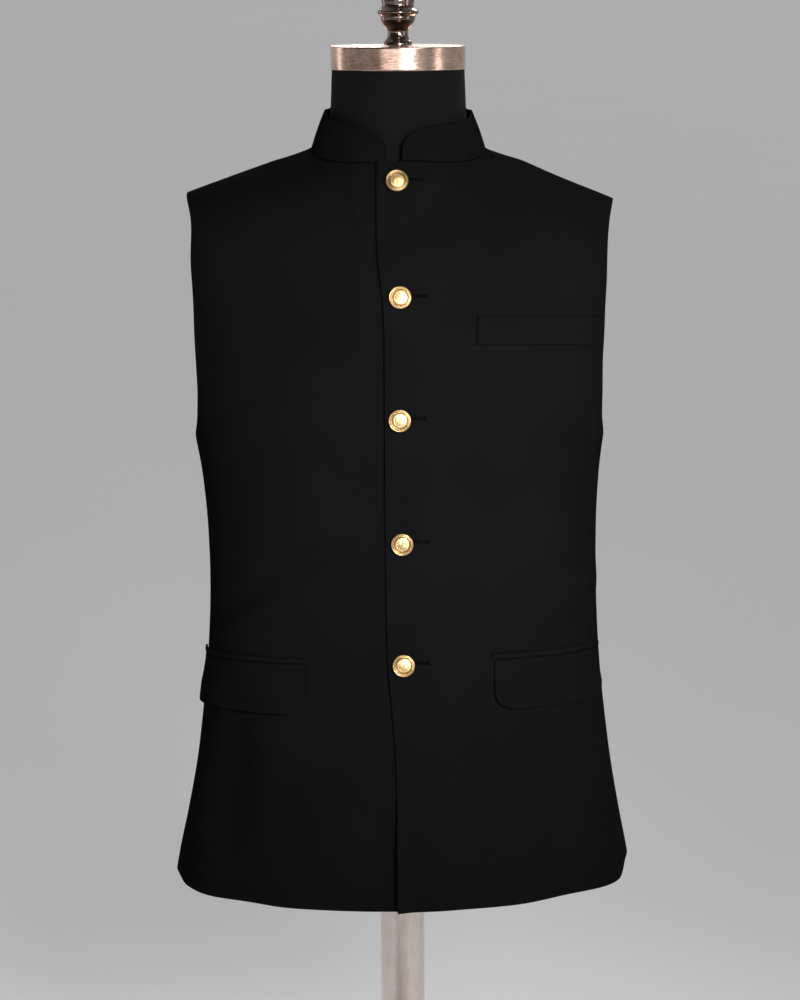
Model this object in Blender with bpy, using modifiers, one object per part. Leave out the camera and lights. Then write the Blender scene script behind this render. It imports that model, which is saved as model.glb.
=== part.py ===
"""Nehru jacket on a limbless dress form with a pole and a round base.

Metres, +Z up. The front faces -Y, and +X is the wearer's left. The origin is the centre of the
base's underside, on the pole's axis.
"""

import math

import bmesh
import bpy
from mathutils import Matrix, Vector

PART_NAME = "nehru_jacket_on_dress_form"

# Cloth thicknesses and gaps
WALL = 0.0016
COLLAR_WALL = 0.0018
FLAP_WALL = 0.0018
JET_WALL = 0.0022
GAP = 0.0003
SEAM_HALF = 0.0002
LAP_LIFT = WALL + 0.0011

# Heights of the jacket's main points
HEM_Z = 0.372
HEM_SLOPE = 0.018
UNDERARM_Z = 0.784
HEM_FADE = 0.28
HEM_CORNER_LEFT = 0.0098
HEM_CORNER_RIGHT = 0.0036
HEM_CORNER_START = 0.163
HEM_CORNER_REACH = 0.035
NECK_FRONT_Z = 1.0385
NECK_BACK_Z = 1.0560
NECK_HALF = 0.0795

# The body's level sections, as superellipses. Above the underarm the section runs on past the
# armhole's edge, where the cloth is cut away.
SECTION_COLUMNS = ("height", "half_width", "front", "back", "centre", "squareness")
SECTIONS = (
    (0.350, 0.2180, 0.1540, 0.1530, 0.0016, 2.02),
    (0.390, 0.2112, 0.1500, 0.1490, 0.0018, 2.04),
    (0.430, 0.2028, 0.1460, 0.1450, 0.0022, 2.07),
    (0.480, 0.1936, 0.1410, 0.1390, 0.0026, 2.12),
    (0.530, 0.1871, 0.1355, 0.1310, 0.0026, 2.18),
    (0.580, 0.1822, 0.1300, 0.1220, 0.0026, 2.25),
    (0.640, 0.1794, 0.1250, 0.1110, 0.0026, 2.25),
    (0.700, 0.1796, 0.1240, 0.1060, 0.0020, 2.25),
    (0.745, 0.1826, 0.1270, 0.1100, 0.0008, 2.28),
    (0.784, 0.1876, 0.1300, 0.1160, 0.0000, 2.30),
    (0.812, 0.1924, 0.1296, 0.1188, 0.0000, 2.30),
    (0.845, 0.1980, 0.1270, 0.1205, 0.0000, 2.30),
    (0.885, 0.2030, 0.1210, 0.1215, 0.0000, 2.30),
    (0.930, 0.2070, 0.1120, 0.1190, 0.0000, 2.30),
    (0.980, 0.2090, 0.0990, 0.1080, 0.0000, 2.30),
    (1.010, 0.2105, 0.0915, 0.1000, 0.0000, 2.30),
    (1.050, 0.2120, 0.0850, 0.0910, 0.0000, 2.30),
)

# The top line of the body over each half width. Outside the neck it is the shoulder seam.
SHOULDER_COLUMNS = ("half_width", "front", "back")
SHOULDER = (
    (-0.0410, 1.0750, 1.0860),
    (0.0000, 1.0850, 1.0960),
    (0.0410, 1.0750, 1.0860),
    (0.0615, 1.0600, 1.0690),
    (0.0795, 1.0476, 1.0476),
    (0.1160, 1.0343, 1.0343),
    (0.1560, 1.0196, 1.0196),
    (0.1970, 1.0040, 1.0040),
    (0.2200, 0.9940, 0.9940),
)
SHOULDER_LEAN = 0.0145
SHOULDER_RISE = 0.0025
SHOULDER_RISE_X = 0.105
SHOULDER_RISE_SPREAD = 0.030
CROWN_AT_NECK = 0.090
CROWN_AT_TIP = 0.060
TIP_HALF = 0.1970
TIP_INSET = 0.0036
TIP_INSET_Z = 0.940
TIP_INSET_REACH = 0.055
NORMAL_STEP = 0.002

# The armhole's edge, as its distance from the middle at each height
ARMHOLE_COLUMNS = ("height", "front", "back")
ARMHOLE = (
    (0.784, 0.1876, 0.1876),
    (0.812, 0.1850, 0.1858),
    (0.832, 0.1838, 0.1852),
    (0.850, 0.1840, 0.1856),
    (0.887, 0.1853, 0.1868),
    (0.923, 0.1866, 0.1885),
    (0.959, 0.1885, 0.1905),
    (0.985, 0.1912, 0.1925),
    (1.006, 0.1970, 0.1970),
)

# The lap's edge at each height. The under-lap runs on below it.
LAP_COLUMNS = ("height", "edge")
LAP = (
    (0.350, -0.0036),
    (0.500, -0.0045),
    (0.540, -0.0070),
    (0.600, -0.0118),
    (0.700, -0.0132),
    (0.870, -0.0135),
    (0.920, -0.0150),
    (0.960, -0.0195),
    (1.050, -0.0200),
)
UNDER_LAP = 0.034
LAP_FADE = 0.034

# Soft flutes of the skirt: angle from the centre front towards the wearer's left, spread in
# degrees, depth and the height where it starts
FLUTES = (
    (-36.0, 9.0, 0.0014, 0.545),
    (-51.0, 8.0, -0.0034, 0.545),
    (-65.0, 7.0, 0.0030, 0.530),
    (-82.0, 8.0, -0.0016, 0.520),
    (-112.0, 9.0, 0.0026, 0.545),
    (-131.0, 10.0, -0.0034, 0.545),
    (-152.0, 9.0, 0.0026, 0.545),
    (180.0, 9.0, -0.0020, 0.545),
    (149.0, 9.0, 0.0028, 0.545),
    (128.0, 10.0, -0.0034, 0.545),
    (110.0, 9.0, 0.0024, 0.545),
    (84.0, 8.0, -0.0014, 0.520),
    (69.0, 7.0, 0.0030, 0.530),
    (54.0, 9.0, -0.0036, 0.545),
    (36.0, 9.0, 0.0014, 0.545),
)

# Panels: name, side and whether it is a back
PANELS = (
    ("front_left", 1, False),
    ("front_right", -1, False),
    ("back_left", 1, True),
    ("back_right", -1, True),
)
PANEL_COLUMNS = 14
LEVEL_HEIGHTS = (
    HEM_Z, 0.410, 0.450, 0.490, 0.530, 0.570, 0.612, 0.655, 0.700, 0.745,
    UNDERARM_Z, 0.789, 0.799, 0.815, 0.838, 0.865, 0.912, 0.935,
)
FAN_Z = LEVEL_HEIGHTS[-1]
FAN_ROWS_FRONT = 5
FAN_ROWS_NECK = 9
NECK_EASING_FRONT = 1.0
NECK_EASING_BACK = 0.5

# Collar
COLLAR_LEFT_END = 0.0032
COLLAR_RIGHT_END = -0.0112
COLLAR_COLUMNS = ("along", "height")
COLLAR_HEIGHT = (
    (0.000, 0.0135),
    (0.003, 0.0190),
    (0.007, 0.0228),
    (0.014, 0.0262),
    (0.032, 0.0318),
    (0.060, 0.0350),
    (0.100, 0.0352),
    (0.300, 0.0357),
)
LEAN_COLUMNS = ("angle", "lean")
COLLAR_LEAN = (
    (0.0, 0.28),
    (90.0, 0.36),
    (180.0, 0.16),
)
COLLAR_END_STEPS = (0.0, 0.0035, 0.0085)
COLLAR_STEP = 0.003
COLLAR_ROWS = 3

# Pocket pieces: inner end, outer end, upper edge at both ends, depth. A flap bends along one of
# the panel's own rows.
WELT = {"inner": 0.0690, "outer": 0.1770, "inner_top": 0.9052, "outer_top": 0.9002, "depth": 0.0250}
FLAP_RIGHT = {"inner": 0.0858, "outer": 0.1796, "inner_top": 0.5918, "outer_top": 0.5812, "depth": 0.0455}
FLAP_LEFT = {"inner": 0.0834, "outer": 0.1790, "inner_top": 0.5966, "outer_top": 0.5905, "depth": 0.0455}
FLAP_BEND_ROW = 5
FLAP_CORNER = 0.016
CORNER_SHARES = (0.012, 0.040, 0.085)
END_SHARE = 0.020
NEAR_SHARE = 0.012
TOP_BEND = 1.5
JET_DEPTH = 0.0055
JET_OVERHANG = 0.0020

# Buttons: place across and height
BUTTONS = (
    (-0.0014, 1.0213),
    (0.0009, 0.9218),
    (0.0001, 0.8153),
    (0.0018, 0.7040),
    (0.0027, 0.5940),
)
BUTTON_RADIUS = 0.0100
BUTTON_TURNS = 12

# Button's profile from the top down: height and share of its radius
BUTTON_PROFILE = (
    (0.0066, 0.00),
    (0.0064, 0.28),
    (0.0058, 0.55),
    (0.0050, 0.74),
    (0.0046, 0.78),
    (0.0050, 0.83),
    (0.0050, 0.92),
    (0.0043, 1.00),
    (0.0033, 1.00),
    (0.0026, 0.90),
    (0.0024, 0.18),
    (0.0000, 0.18),
    (0.0000, 0.00),
)

# Dress form: level sections, smaller than the jacket's
FORM_COLUMNS = ("height", "half_width", "front", "back", "squareness")
FORM_SECTIONS = (
    (0.440, 0.1640, 0.1120, 0.1180, 2.20),
    (0.500, 0.1680, 0.1150, 0.1180, 2.20),
    (0.560, 0.1680, 0.1150, 0.1090, 2.20),
    (0.620, 0.1630, 0.1110, 0.0970, 2.20),
    (0.680, 0.1640, 0.1110, 0.0930, 2.20),
    (0.740, 0.1670, 0.1150, 0.0980, 2.25),
    (0.784, 0.1700, 0.1190, 0.1050, 2.35),
    (0.830, 0.1705, 0.1190, 0.1095, 2.45),
    (0.880, 0.1725, 0.1130, 0.1120, 2.50),
    (0.930, 0.1755, 0.1050, 0.1090, 2.50),
    (0.965, 0.1800, 0.0960, 0.1030, 2.50),
    (0.990, 0.1830, 0.0900, 0.0970, 2.50),
    (1.050, 0.1830, 0.0780, 0.0780, 2.50),
)
FORM_SHOULDER_DROP = WALL + 0.0008
FORM_NECK_DROP = 0.0045
FORM_NECK_REACH = 0.130

# The form's neck: height and radius
FORM_NECK = (
    (1.0450, 0.0680),
    (1.0520, 0.0645),
    (1.0650, 0.0625),
    (1.0850, 0.0616),
    (1.1186, 0.0603),
)

# Heights of the form's level rings
FORM_HEIGHTS = (
    0.440, 0.485, 0.530, 0.575, 0.620, 0.665, 0.710, 0.750, 0.784, 0.815, 0.845, 0.875, 0.905,
    0.935, 0.960, 0.980, 0.993, 1.001, 1.008, 1.015, 1.023, 1.031, 1.038,
)
FORM_TURNS = 40
FORM_HALVINGS = 40

# Stand
CAP_RADIUS = 0.0613
CAP_HEIGHT = 0.0215
CAP_EDGE = 0.0012
CAP_TURNS = 32
FINIAL_TURNS = 20
POLE_RADIUS = 0.0206
POLE_X = 0.0007
POLE_TURNS = 24
BASE_HEIGHT = 0.016
BASE_TURNS = 40

# Base's profile from the top down: height and radius
BASE_PROFILE = (
    (BASE_HEIGHT, 0.000),
    (BASE_HEIGHT, 0.030),
    (0.0150, 0.060),
    (0.0090, 0.154),
    (0.0070, 0.159),
    (0.0050, 0.160),
    (0.0010, 0.160),
    (0.0000, 0.159),
    (0.0000, 0.000),
)

# Finial: height above the cap and radius, from the top down
FINIAL_PROFILE = (
    (0.0800, 0.0000),
    (0.0796, 0.0030),
    (0.0780, 0.0055),
    (0.0755, 0.0066),
    (0.0730, 0.0060),
    (0.0705, 0.0092),
    (0.0655, 0.0148),
    (0.0590, 0.0176),
    (0.0525, 0.0166),
    (0.0485, 0.0128),
    (0.0460, 0.0116),
    (0.0435, 0.0142),
    (0.0400, 0.0152),
    (0.0370, 0.0144),
    (0.0340, 0.0150),
    (0.0308, 0.0186),
    (0.0296, 0.0190),
    (0.0280, 0.0184),
    (0.0262, 0.0158),
    (0.0248, 0.0160),
    (0.0215, 0.0153),
    (0.0175, 0.0128),
    (0.0140, 0.0098),
    (0.0120, 0.0093),
    (0.0085, 0.0096),
    (0.0055, 0.0104),
    (0.0030, 0.0128),
    (0.0012, 0.0132),
    (0.0000, 0.0130),
    (0.0000, 0.0000),
)


def column(rows, columns, name):
    """One named column of a table."""
    place = columns.index(name)
    return [row[place] for row in rows]


def read_off(rows, columns, name, at):
    """A table's value at a place, on a smooth curve through its rows."""
    places = column(rows, columns, columns[0])
    values = column(rows, columns, name)
    if at <= places[0]:
        return values[0]
    if at >= places[-1]:
        return values[-1]
    last = len(places) - 1
    low = max(i for i in range(last) if places[i] <= at)

    def slope(i):
        before, after = max(i - 1, 0), min(i + 1, last)
        return (values[after] - values[before]) / (places[after] - places[before])

    span = places[low + 1] - places[low]
    t = (at - places[low]) / span
    rise = values[low + 1] - values[low]
    start, end = slope(low) * span, slope(low + 1) * span
    return (
        values[low]
        + t * start
        + t * t * (3 * rise - 2 * start - end)
        + t * t * t * (start + end - 2 * rise)
    )


def section(name, height):
    return read_off(SECTIONS, SECTION_COLUMNS, name, height)


def mix(a, b, t):
    return a + (b - a) * t


def ease(t):
    """Smooth step from 0 to 1."""
    t = min(max(t, 0.0), 1.0)
    return t * t * (3 - 2 * t)


def shoulder_line(x, back):
    """Height of the body's top line over a place across."""
    name = "back" if back else "front"
    rise = SHOULDER_RISE * math.exp(-(((x - SHOULDER_RISE_X) / SHOULDER_RISE_SPREAD) ** 2))
    return read_off(SHOULDER, SHOULDER_COLUMNS, name, abs(x)) - SHOULDER_LEAN * x + rise


def oval(share, squareness):
    """Depth of a superellipse of depth 1 at a share of its half width."""
    share = min(abs(share), 1.0)
    return (1 - share**squareness) ** (1 / squareness)


def crown(x, z, top):
    """Share of the full depth left below the rounded shoulder."""
    reach = ease((abs(x) - NECK_HALF) / (TIP_HALF - NECK_HALF))
    height = mix(CROWN_AT_NECK, CROWN_AT_TIP, reach)
    left = 1 - min(max((top - z) / height, 0.0), 1.0)
    return math.sqrt(1 - left * left)


def flute(point):
    """How far the skirt's flutes stand out or in at a point."""
    angle = math.degrees(math.atan2(point.x, -point.y))
    total = 0.0
    for middle, spread, depth, starts in FLUTES:
        away = (angle - middle + 180) % 360 - 180
        fade = ease((starts - point.z) / (starts - HEM_Z))
        total += depth * fade * math.exp(-((away / spread) ** 2))
    return total


def body_point(x, z, back):
    """Point of the jacket's outer surface over a place across and a height."""
    name = "back" if back else "front"
    share = (x - section("centre", z)) / section("half_width", z)
    depth = section(name, z) * oval(share, section("squareness", z))
    depth *= crown(x, z, shoulder_line(x, back))
    way = 1 if back else -1
    point = Vector((x, way * depth, z))
    outward = Vector((x, way * depth, 0.0))
    if outward.length > 0:
        point += outward.normalized() * flute(point)
    return point


def lap_edge(z):
    return read_off(LAP, LAP_COLUMNS, "edge", z)


def lap_lift(x, z):
    """How far the left front stands off the right one where it laps over."""
    past = x - lap_edge(z) - UNDER_LAP
    return LAP_LIFT * (1 - ease(past / LAP_FADE))


def surface_normal(x, z, back):
    """Outward direction of the jacket's surface."""
    inward = -NORMAL_STEP if x > 0 else NORMAL_STEP
    here = body_point(x, z, back)
    across = body_point(x + inward, z, back) - here
    up = here - body_point(x, z - NORMAL_STEP, back)
    normal = across.cross(up)
    if normal.dot(Vector((x, 1.0 if back else -1.0, 0.0))) < 0:
        normal.negate()
    return normal.normalized()


def cloth_point(x, z, back=False, lap=False, lift=0.0):
    """Point of a panel, moved out by the lap and by a lift."""
    if lap:
        lift += lap_lift(x, z)
    point = body_point(x, z, back)
    if lift:
        point += surface_normal(x, z, back) * lift
    return point


def turn_of(x, z):
    """Angle round the section at a place across, from 0 at the middle to 90 degrees at the side."""
    share = (x - section("centre", z)) / section("half_width", z)
    share = min(max(share, -1.0), 1.0)
    return math.copysign(math.asin(abs(share) ** (section("squareness", z) / 2)), share)


def place_of(turn, z):
    """Place across at an angle round the section."""
    share = abs(math.sin(turn)) ** (2 / section("squareness", z))
    return section("centre", z) + math.copysign(share, turn) * section("half_width", z)


def outer_edge(side, z, back):
    """Place across of a panel's outer edge: the side seam, then the armhole."""
    if z <= UNDERARM_Z:
        return place_of(side * math.pi / 2, z)
    name = "back" if back else "front"
    half = read_off(ARMHOLE, ARMHOLE_COLUMNS, name, z)
    if side < 0:
        half -= TIP_INSET * ease((z - TIP_INSET_Z) / TIP_INSET_REACH)
    return side * half


def shoulder_tip(side):
    """Place across of the shoulder seam's outer end."""
    return side * TIP_HALF if side > 0 else side * (TIP_HALF - TIP_INSET)


def neckline(side, share, back):
    """Place across and height of the neckline, from the middle (0) to the shoulder seam (1)."""
    x = side * NECK_HALF * math.sin(share * math.pi / 2)
    if back:
        drop = (shoulder_line(0.0, True) - NECK_BACK_Z) * math.cos(share * math.pi / 2) ** 2
        return x, shoulder_line(x, True) - drop
    return x, mix(NECK_FRONT_Z, shoulder_line(side * NECK_HALF, False), share**4)


def neck_shares(start, easing):
    """Shares of the neckline where a panel has its points, which the easing draws to its ends."""
    steps = [i / FAN_ROWS_NECK for i in range(FAN_ROWS_NECK + 1)]
    eased = [mix(step, (1 - math.cos(math.pi * step)) / 2, easing) for step in steps]
    return [mix(start, 1.0, step) for step in eased]


def inner_x(side, z, back, lapped):
    """Place across of a panel's middle edge."""
    if back:
        return side * SEAM_HALF
    return lap_edge(z) if lapped else lap_edge(z) + UNDER_LAP


def row_height(number, x):
    """Height of a level row over a place across. The hem rises towards the wearer's left."""
    z = LEVEL_HEIGHTS[number]
    corner = HEM_CORNER_LEFT if x > 0 else HEM_CORNER_RIGHT
    rise = HEM_SLOPE * x + corner * ease((abs(x) - HEM_CORNER_START) / HEM_CORNER_REACH)
    return z + rise * (1 - ease((z - HEM_Z) / HEM_FADE))


def row_place(z, x):
    """Which level row a height lies at, with the share of the way to the next."""
    for number in range(len(LEVEL_HEIGHTS) - 1):
        low, high = row_height(number, x), row_height(number + 1, x)
        if z < high:
            break
    return number, (z - low) / (high - low)


def panel_rows(side, back):
    """Rows of points, from the hem up to the shoulder seam, each from the middle outwards."""
    lapped = side > 0 and not back
    rows = []

    def level_row(number):
        points = []
        start_x = inner_x(side, LEVEL_HEIGHTS[number], back, lapped)
        end_x = outer_edge(side, LEVEL_HEIGHTS[number], back)
        for c in range(PANEL_COLUMNS + 1):
            f = c / PANEL_COLUMNS
            z = row_height(number, mix(start_x, end_x, f))
            start = turn_of(inner_x(side, z, back, lapped), z)
            end = turn_of(outer_edge(side, z, back), z)
            points.append(cloth_point(place_of(mix(start, end, f), z), z, back, lapped))
        return points

    def fan_row(inner, outer_z, rise):
        """A row that turns from level to the slope of the shoulder."""
        start_x, start_z = inner
        end_x = outer_edge(side, outer_z, back) if rise < 1 else shoulder_tip(side)
        end_z = outer_z
        start_drop = shoulder_line(start_x, back) - start_z
        end_drop = shoulder_line(end_x, back) - end_z
        start, end = turn_of(start_x, start_z), turn_of(end_x, end_z)
        points = []
        for c in range(PANEL_COLUMNS + 1):
            f = c / PANEL_COLUMNS
            level = mix(start_z, end_z, f)
            x = mix(mix(start_x, end_x, f), place_of(mix(start, end, f), level), 1 - rise)
            sloped = shoulder_line(x, back) - mix(start_drop, end_drop, f)
            points.append(cloth_point(x, mix(level, sloped, rise), back, lapped))
        return points

    for number in range(len(LEVEL_HEIGHTS)):
        rows.append(level_row(number))
    tip_z = shoulder_line(shoulder_tip(side), back)
    count = FAN_ROWS_FRONT + FAN_ROWS_NECK
    middle_top = NECK_BACK_Z if back else NECK_FRONT_Z
    for r in range(1, FAN_ROWS_FRONT):
        z = mix(FAN_Z, middle_top, r / FAN_ROWS_FRONT)
        outer_z = tip_z - (tip_z - FAN_Z) * (1 - r / count) ** 2
        rows.append(fan_row((inner_x(side, z, back, lapped), z), outer_z, (r / count) ** 2))
    first = inner_x(side, middle_top, back, lapped)
    start = math.asin(first / (side * NECK_HALF)) / (math.pi / 2)
    for i, share in enumerate(neck_shares(start, NECK_EASING_BACK if back else NECK_EASING_FRONT)):
        r = FAN_ROWS_FRONT + i
        x, z = neckline(side, share, back)
        if share < 0:
            z = middle_top
        rest = 1 - r / count
        rows.append(fan_row((x, z), tip_z - (tip_z - FAN_Z) * rest**2, (r / count) ** 2))
    away = Vector((0.0, SEAM_HALF if back else -SEAM_HALF, 0.0))
    return [[point + away for point in row] for row in rows]


def material(name, colour, roughness, metallic=0.0):
    made = bpy.data.materials.new(name)
    made.use_nodes = True
    shader = made.node_tree.nodes["Principled BSDF"]
    shader.inputs["Base Color"].default_value = (*colour, 1.0)
    shader.inputs["Roughness"].default_value = roughness
    shader.inputs["Metallic"].default_value = metallic
    return made


def add_object(name, mesh, collection, finish):
    obj = bpy.data.objects.new(name, mesh)
    obj.data.materials.append(finish)
    collection.objects.link(obj)
    return obj


def grid_mesh(name, rows, flip=False):
    """Open surface through rows of points."""
    bm = bmesh.new()
    grid = [[bm.verts.new(point) for point in row] for row in rows]
    for low, high in zip(grid, grid[1:]):
        for c in range(len(low) - 1):
            corners = [low[c], low[c + 1], high[c + 1], high[c]]
            bm.faces.new(corners[::-1] if flip else corners)
    mesh = bpy.data.meshes.new(name)
    bm.to_mesh(mesh)
    bm.free()
    mesh.shade_smooth()
    return mesh


def shell(name, rows, thickness, collection, finish, flip=False):
    """Cloth wall whose outer face runs through rows of points."""
    obj = add_object(name, grid_mesh(name, rows, flip), collection, finish)
    solidify = obj.modifiers.new("wall", "SOLIDIFY")
    solidify.thickness = thickness
    solidify.offset = -1.0
    return obj


def make_panels(collection, cloth):
    """The four panels. Returns their rows of points."""
    grids = {}
    for name, side, back in PANELS:
        grids[name] = panel_rows(side, back)
        shell(name, grids[name], WALL, collection, cloth, (side < 0) != back)
    return grids


def neck_edge(rows):
    """Neckline points of a panel, from the middle to the shoulder seam."""
    return [row[0] for row in rows[-(FAN_ROWS_NECK + 1) :]]


def cut_edge(points, end_x, steps):
    """A neckline from a place across onwards, with close points at its start."""
    side = 1 if points[-1].x > 0 else -1
    kept = [point for point in points if side * (point.x - end_x) > steps[-1] + COLLAR_STEP]
    starts = []
    for step in steps:
        x = end_x + side * step
        for a, b in zip(points, points[1:]):
            if side * a.x <= side * x < side * b.x:
                starts.append(a.lerp(b, (x - a.x) / (b.x - a.x)))
    return starts + kept


def collar_base(grids):
    """Points under the collar, from its left end round the back to its right end."""
    left = cut_edge(neck_edge(grids["front_left"]), COLLAR_LEFT_END, COLLAR_END_STEPS)
    right = cut_edge(neck_edge(grids["front_right"]), COLLAR_RIGHT_END, COLLAR_END_STEPS)
    back_left = neck_edge(grids["back_left"])[::-1]
    back_right = neck_edge(grids["back_right"])
    return left[:-1] + back_left[:-1] + back_right + right[-2::-1]


def collar_rows(grids):
    base = collar_base(grids)
    along = [0.0]
    for a, b in zip(base, base[1:]):
        along.append(along[-1] + (b - a).length)
    rows = []
    for r in range(COLLAR_ROWS + 1):
        rise = r / COLLAR_ROWS
        row = []
        for i, point in enumerate(base):
            before, after = base[max(i - 1, 0)], base[min(i + 1, len(base) - 1)]
            tangent = after - before
            inward = Vector((-tangent.y, tangent.x, 0.0)).normalized()
            from_end = min(along[i], along[-1] - along[i])
            height = read_off(COLLAR_HEIGHT, COLLAR_COLUMNS, "height", from_end)
            angle = abs(math.degrees(math.atan2(point.x, -point.y)))
            lean = read_off(COLLAR_LEAN, LEAN_COLUMNS, "lean", angle)
            up = Vector((0.0, 0.0, 2 * GAP + height * rise))
            row.append(point + up + inward * lean * height * rise)
        rows.append(row)
    return rows


def front_share(side, x, z):
    """Share of the way round a front, from its middle edge to its outer one, of a place across."""
    start = turn_of(inner_x(side, z, False, side > 0), z)
    end = turn_of(outer_edge(side, z, False), z)
    return (turn_of(x, z) - start) / (end - start)


def front_place(side, share, z):
    """Place across at a share of the way round a front."""
    start = turn_of(inner_x(side, z, False, side > 0), z)
    end = turn_of(outer_edge(side, z, False), z)
    return place_of(mix(start, end, share), z)


def on_panel(grid, side, share, z, lift):
    """Point on the flat facets of a front at a share of the way round and a height, moved out."""
    x = front_place(side, share, z)
    r, rise = row_place(z, x)
    c = min(int(share * PANEL_COLUMNS), PANEL_COLUMNS - 1)
    low = grid[r][c].lerp(grid[r][c + 1], share * PANEL_COLUMNS - c)
    high = grid[r + 1][c].lerp(grid[r + 1][c + 1], share * PANEL_COLUMNS - c)
    return low.lerp(high, rise) + surface_normal(x, z, False) * lift


def patch_shares(start, end, corner_shares):
    """Shares of a piece's columns: its ends, its corners and the panel's own columns between."""
    shares = set(corner_shares) | {1 - share for share in corner_shares} | {0.0, 1.0}
    for c in range(PANEL_COLUMNS + 1):
        share = (c / PANEL_COLUMNS - start) / (end - start)
        if END_SHARE < share < 1 - END_SHARE:
            shares = {s for s in shares if abs(s - share) > NEAR_SHARE} | {share}
    return sorted(shares)


def patch_heights(bottom, top, bend, steps):
    """Heights of a piece's rows over one place, in even steps below its bend or its top."""
    heights = [mix(bottom, top if bend is None else bend, i / steps) for i in range(steps + 1)]
    return heights if bend is None else heights + [top]


def patch_rows(grid, side, sizes, lift, steps, bend_row=None, corner=0.0, extra_top=0.0, extra_ends=0.0):
    """Rows of a piece that lies on a front, from its lower edge up."""
    ends = [side * (sizes["inner"] - extra_ends), side * (sizes["outer"] + extra_ends)]
    tops = [sizes["inner_top"], sizes["outer_top"]]
    start, end = [front_share(side, x, z) for x, z in zip(ends, tops)]
    tips = [body_point(x, z, False) for x, z in zip(ends, tops)]
    length = (tips[1] - tips[0]).length
    columns = []
    for share in patch_shares(start, end, CORNER_SHARES if corner else ()):
        across = mix(start, end, share)
        top = mix(*tops, share**TOP_BEND) + extra_top
        from_end = min(share, 1 - share) * length
        cut = corner - math.sqrt(max(corner**2 - max(corner - from_end, 0.0) ** 2, 0.0))
        bottom = top - sizes["depth"] + cut
        bend = row_height(bend_row, front_place(side, across, top)) if bend_row else None
        heights = patch_heights(bottom, top, bend, steps)
        columns.append([on_panel(grid, side, across, z, lift) for z in heights])
    return [list(row) for row in zip(*columns)]


def make_pockets(grids, collection, cloth):
    lift = GAP + FLAP_WALL
    rows = patch_rows(grids["front_left"], 1, WELT, lift, 2)
    shell("chest_welt", rows, FLAP_WALL, collection, cloth)
    for name, side, sizes in (("left", 1, FLAP_LEFT), ("right", -1, FLAP_RIGHT)):
        flip = side < 0
        grid = grids["front_" + name]
        rows = patch_rows(grid, side, sizes, lift, 2, FLAP_BEND_ROW, FLAP_CORNER)
        shell("flap_" + name, rows, FLAP_WALL, collection, cloth, flip)
        jet = dict(sizes, depth=JET_DEPTH)
        above = JET_DEPTH + GAP
        rows = patch_rows(grid, side, jet, GAP + JET_WALL, 1, None, 0.0, above, JET_OVERHANG)
        shell("jet_" + name, rows, JET_WALL, collection, cloth, flip)


def turned(name, profile, turns, collection, finish):
    """Turned solid from a profile of heights and radii, top to bottom."""
    bm = bmesh.new()
    verts = [bm.verts.new((radius, 0.0, height)) for height, radius in profile]
    for a, b in zip(verts, verts[1:]):
        bm.edges.new((a, b))
    mesh = bpy.data.meshes.new(name)
    bm.to_mesh(mesh)
    bm.free()
    obj = add_object(name, mesh, collection, finish)
    screw = obj.modifiers.new("turn", "SCREW")
    screw.axis = "Z"
    screw.steps = turns
    screw.render_steps = turns
    screw.use_merge_vertices = True
    screw.merge_threshold = 0.00001
    screw.use_smooth_shade = True
    return obj


def make_buttons(collection, metal):
    profile = [(height, share * BUTTON_RADIUS) for height, share in BUTTON_PROFILE]
    for number, (x, z) in enumerate(BUTTONS, start=1):
        obj = turned(f"button_{number}", profile, BUTTON_TURNS, collection, metal)
        outward = surface_normal(x, z, False)
        place = cloth_point(x, z, False, True, GAP)
        place.y -= SEAM_HALF
        turn = outward.to_track_quat("Z", "Y").to_matrix().to_4x4()
        obj.matrix_world = Matrix.Translation(place) @ turn


def form_section(name, height):
    return read_off(FORM_SECTIONS, FORM_COLUMNS, name, height)


def form_top(x):
    """The form's top line, close under the shoulder seam and lower towards the neck."""
    near_neck = 1 - ease((abs(x) - NECK_HALF) / (FORM_NECK_REACH - NECK_HALF))
    return shoulder_line(x, False) - FORM_SHOULDER_DROP - FORM_NECK_DROP * near_neck


def form_half_width(z, side):
    """Half width of the form, narrowed by the slope of the shoulder."""
    low, high = NECK_HALF, form_section("half_width", z)
    if form_top(side * high) >= z:
        return high
    for _ in range(FORM_HALVINGS):
        middle = (low + high) / 2
        if form_top(side * middle) >= z:
            low = middle
        else:
            high = middle
    return low


def form_ring(z):
    """Level ring of the form, from the centre front round the wearer's left."""
    points = []
    squareness = form_section("squareness", z)
    for i in range(FORM_TURNS):
        turn = 2 * math.pi * i / FORM_TURNS
        side = 1 if math.sin(turn) >= 0 else -1
        back = math.cos(turn) < 0
        reach = form_half_width(z, side)
        x = side * reach * abs(math.sin(turn)) ** (2 / squareness)
        top = form_top(x)
        depth = form_section("back" if back else "front", z)
        depth *= oval(x / form_section("half_width", z), squareness) * crown(x, z, top)
        if reach < form_section("half_width", z) and abs(math.cos(turn)) < 1e-6:
            depth = 0.0
        points.append(Vector((x, depth if back else -depth, z)))
    return points


def neck_ring(z, radius):
    points = []
    for i in range(FORM_TURNS):
        turn = 2 * math.pi * i / FORM_TURNS
        points.append(Vector((radius * math.sin(turn), -radius * math.cos(turn), z)))
    return points


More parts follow.
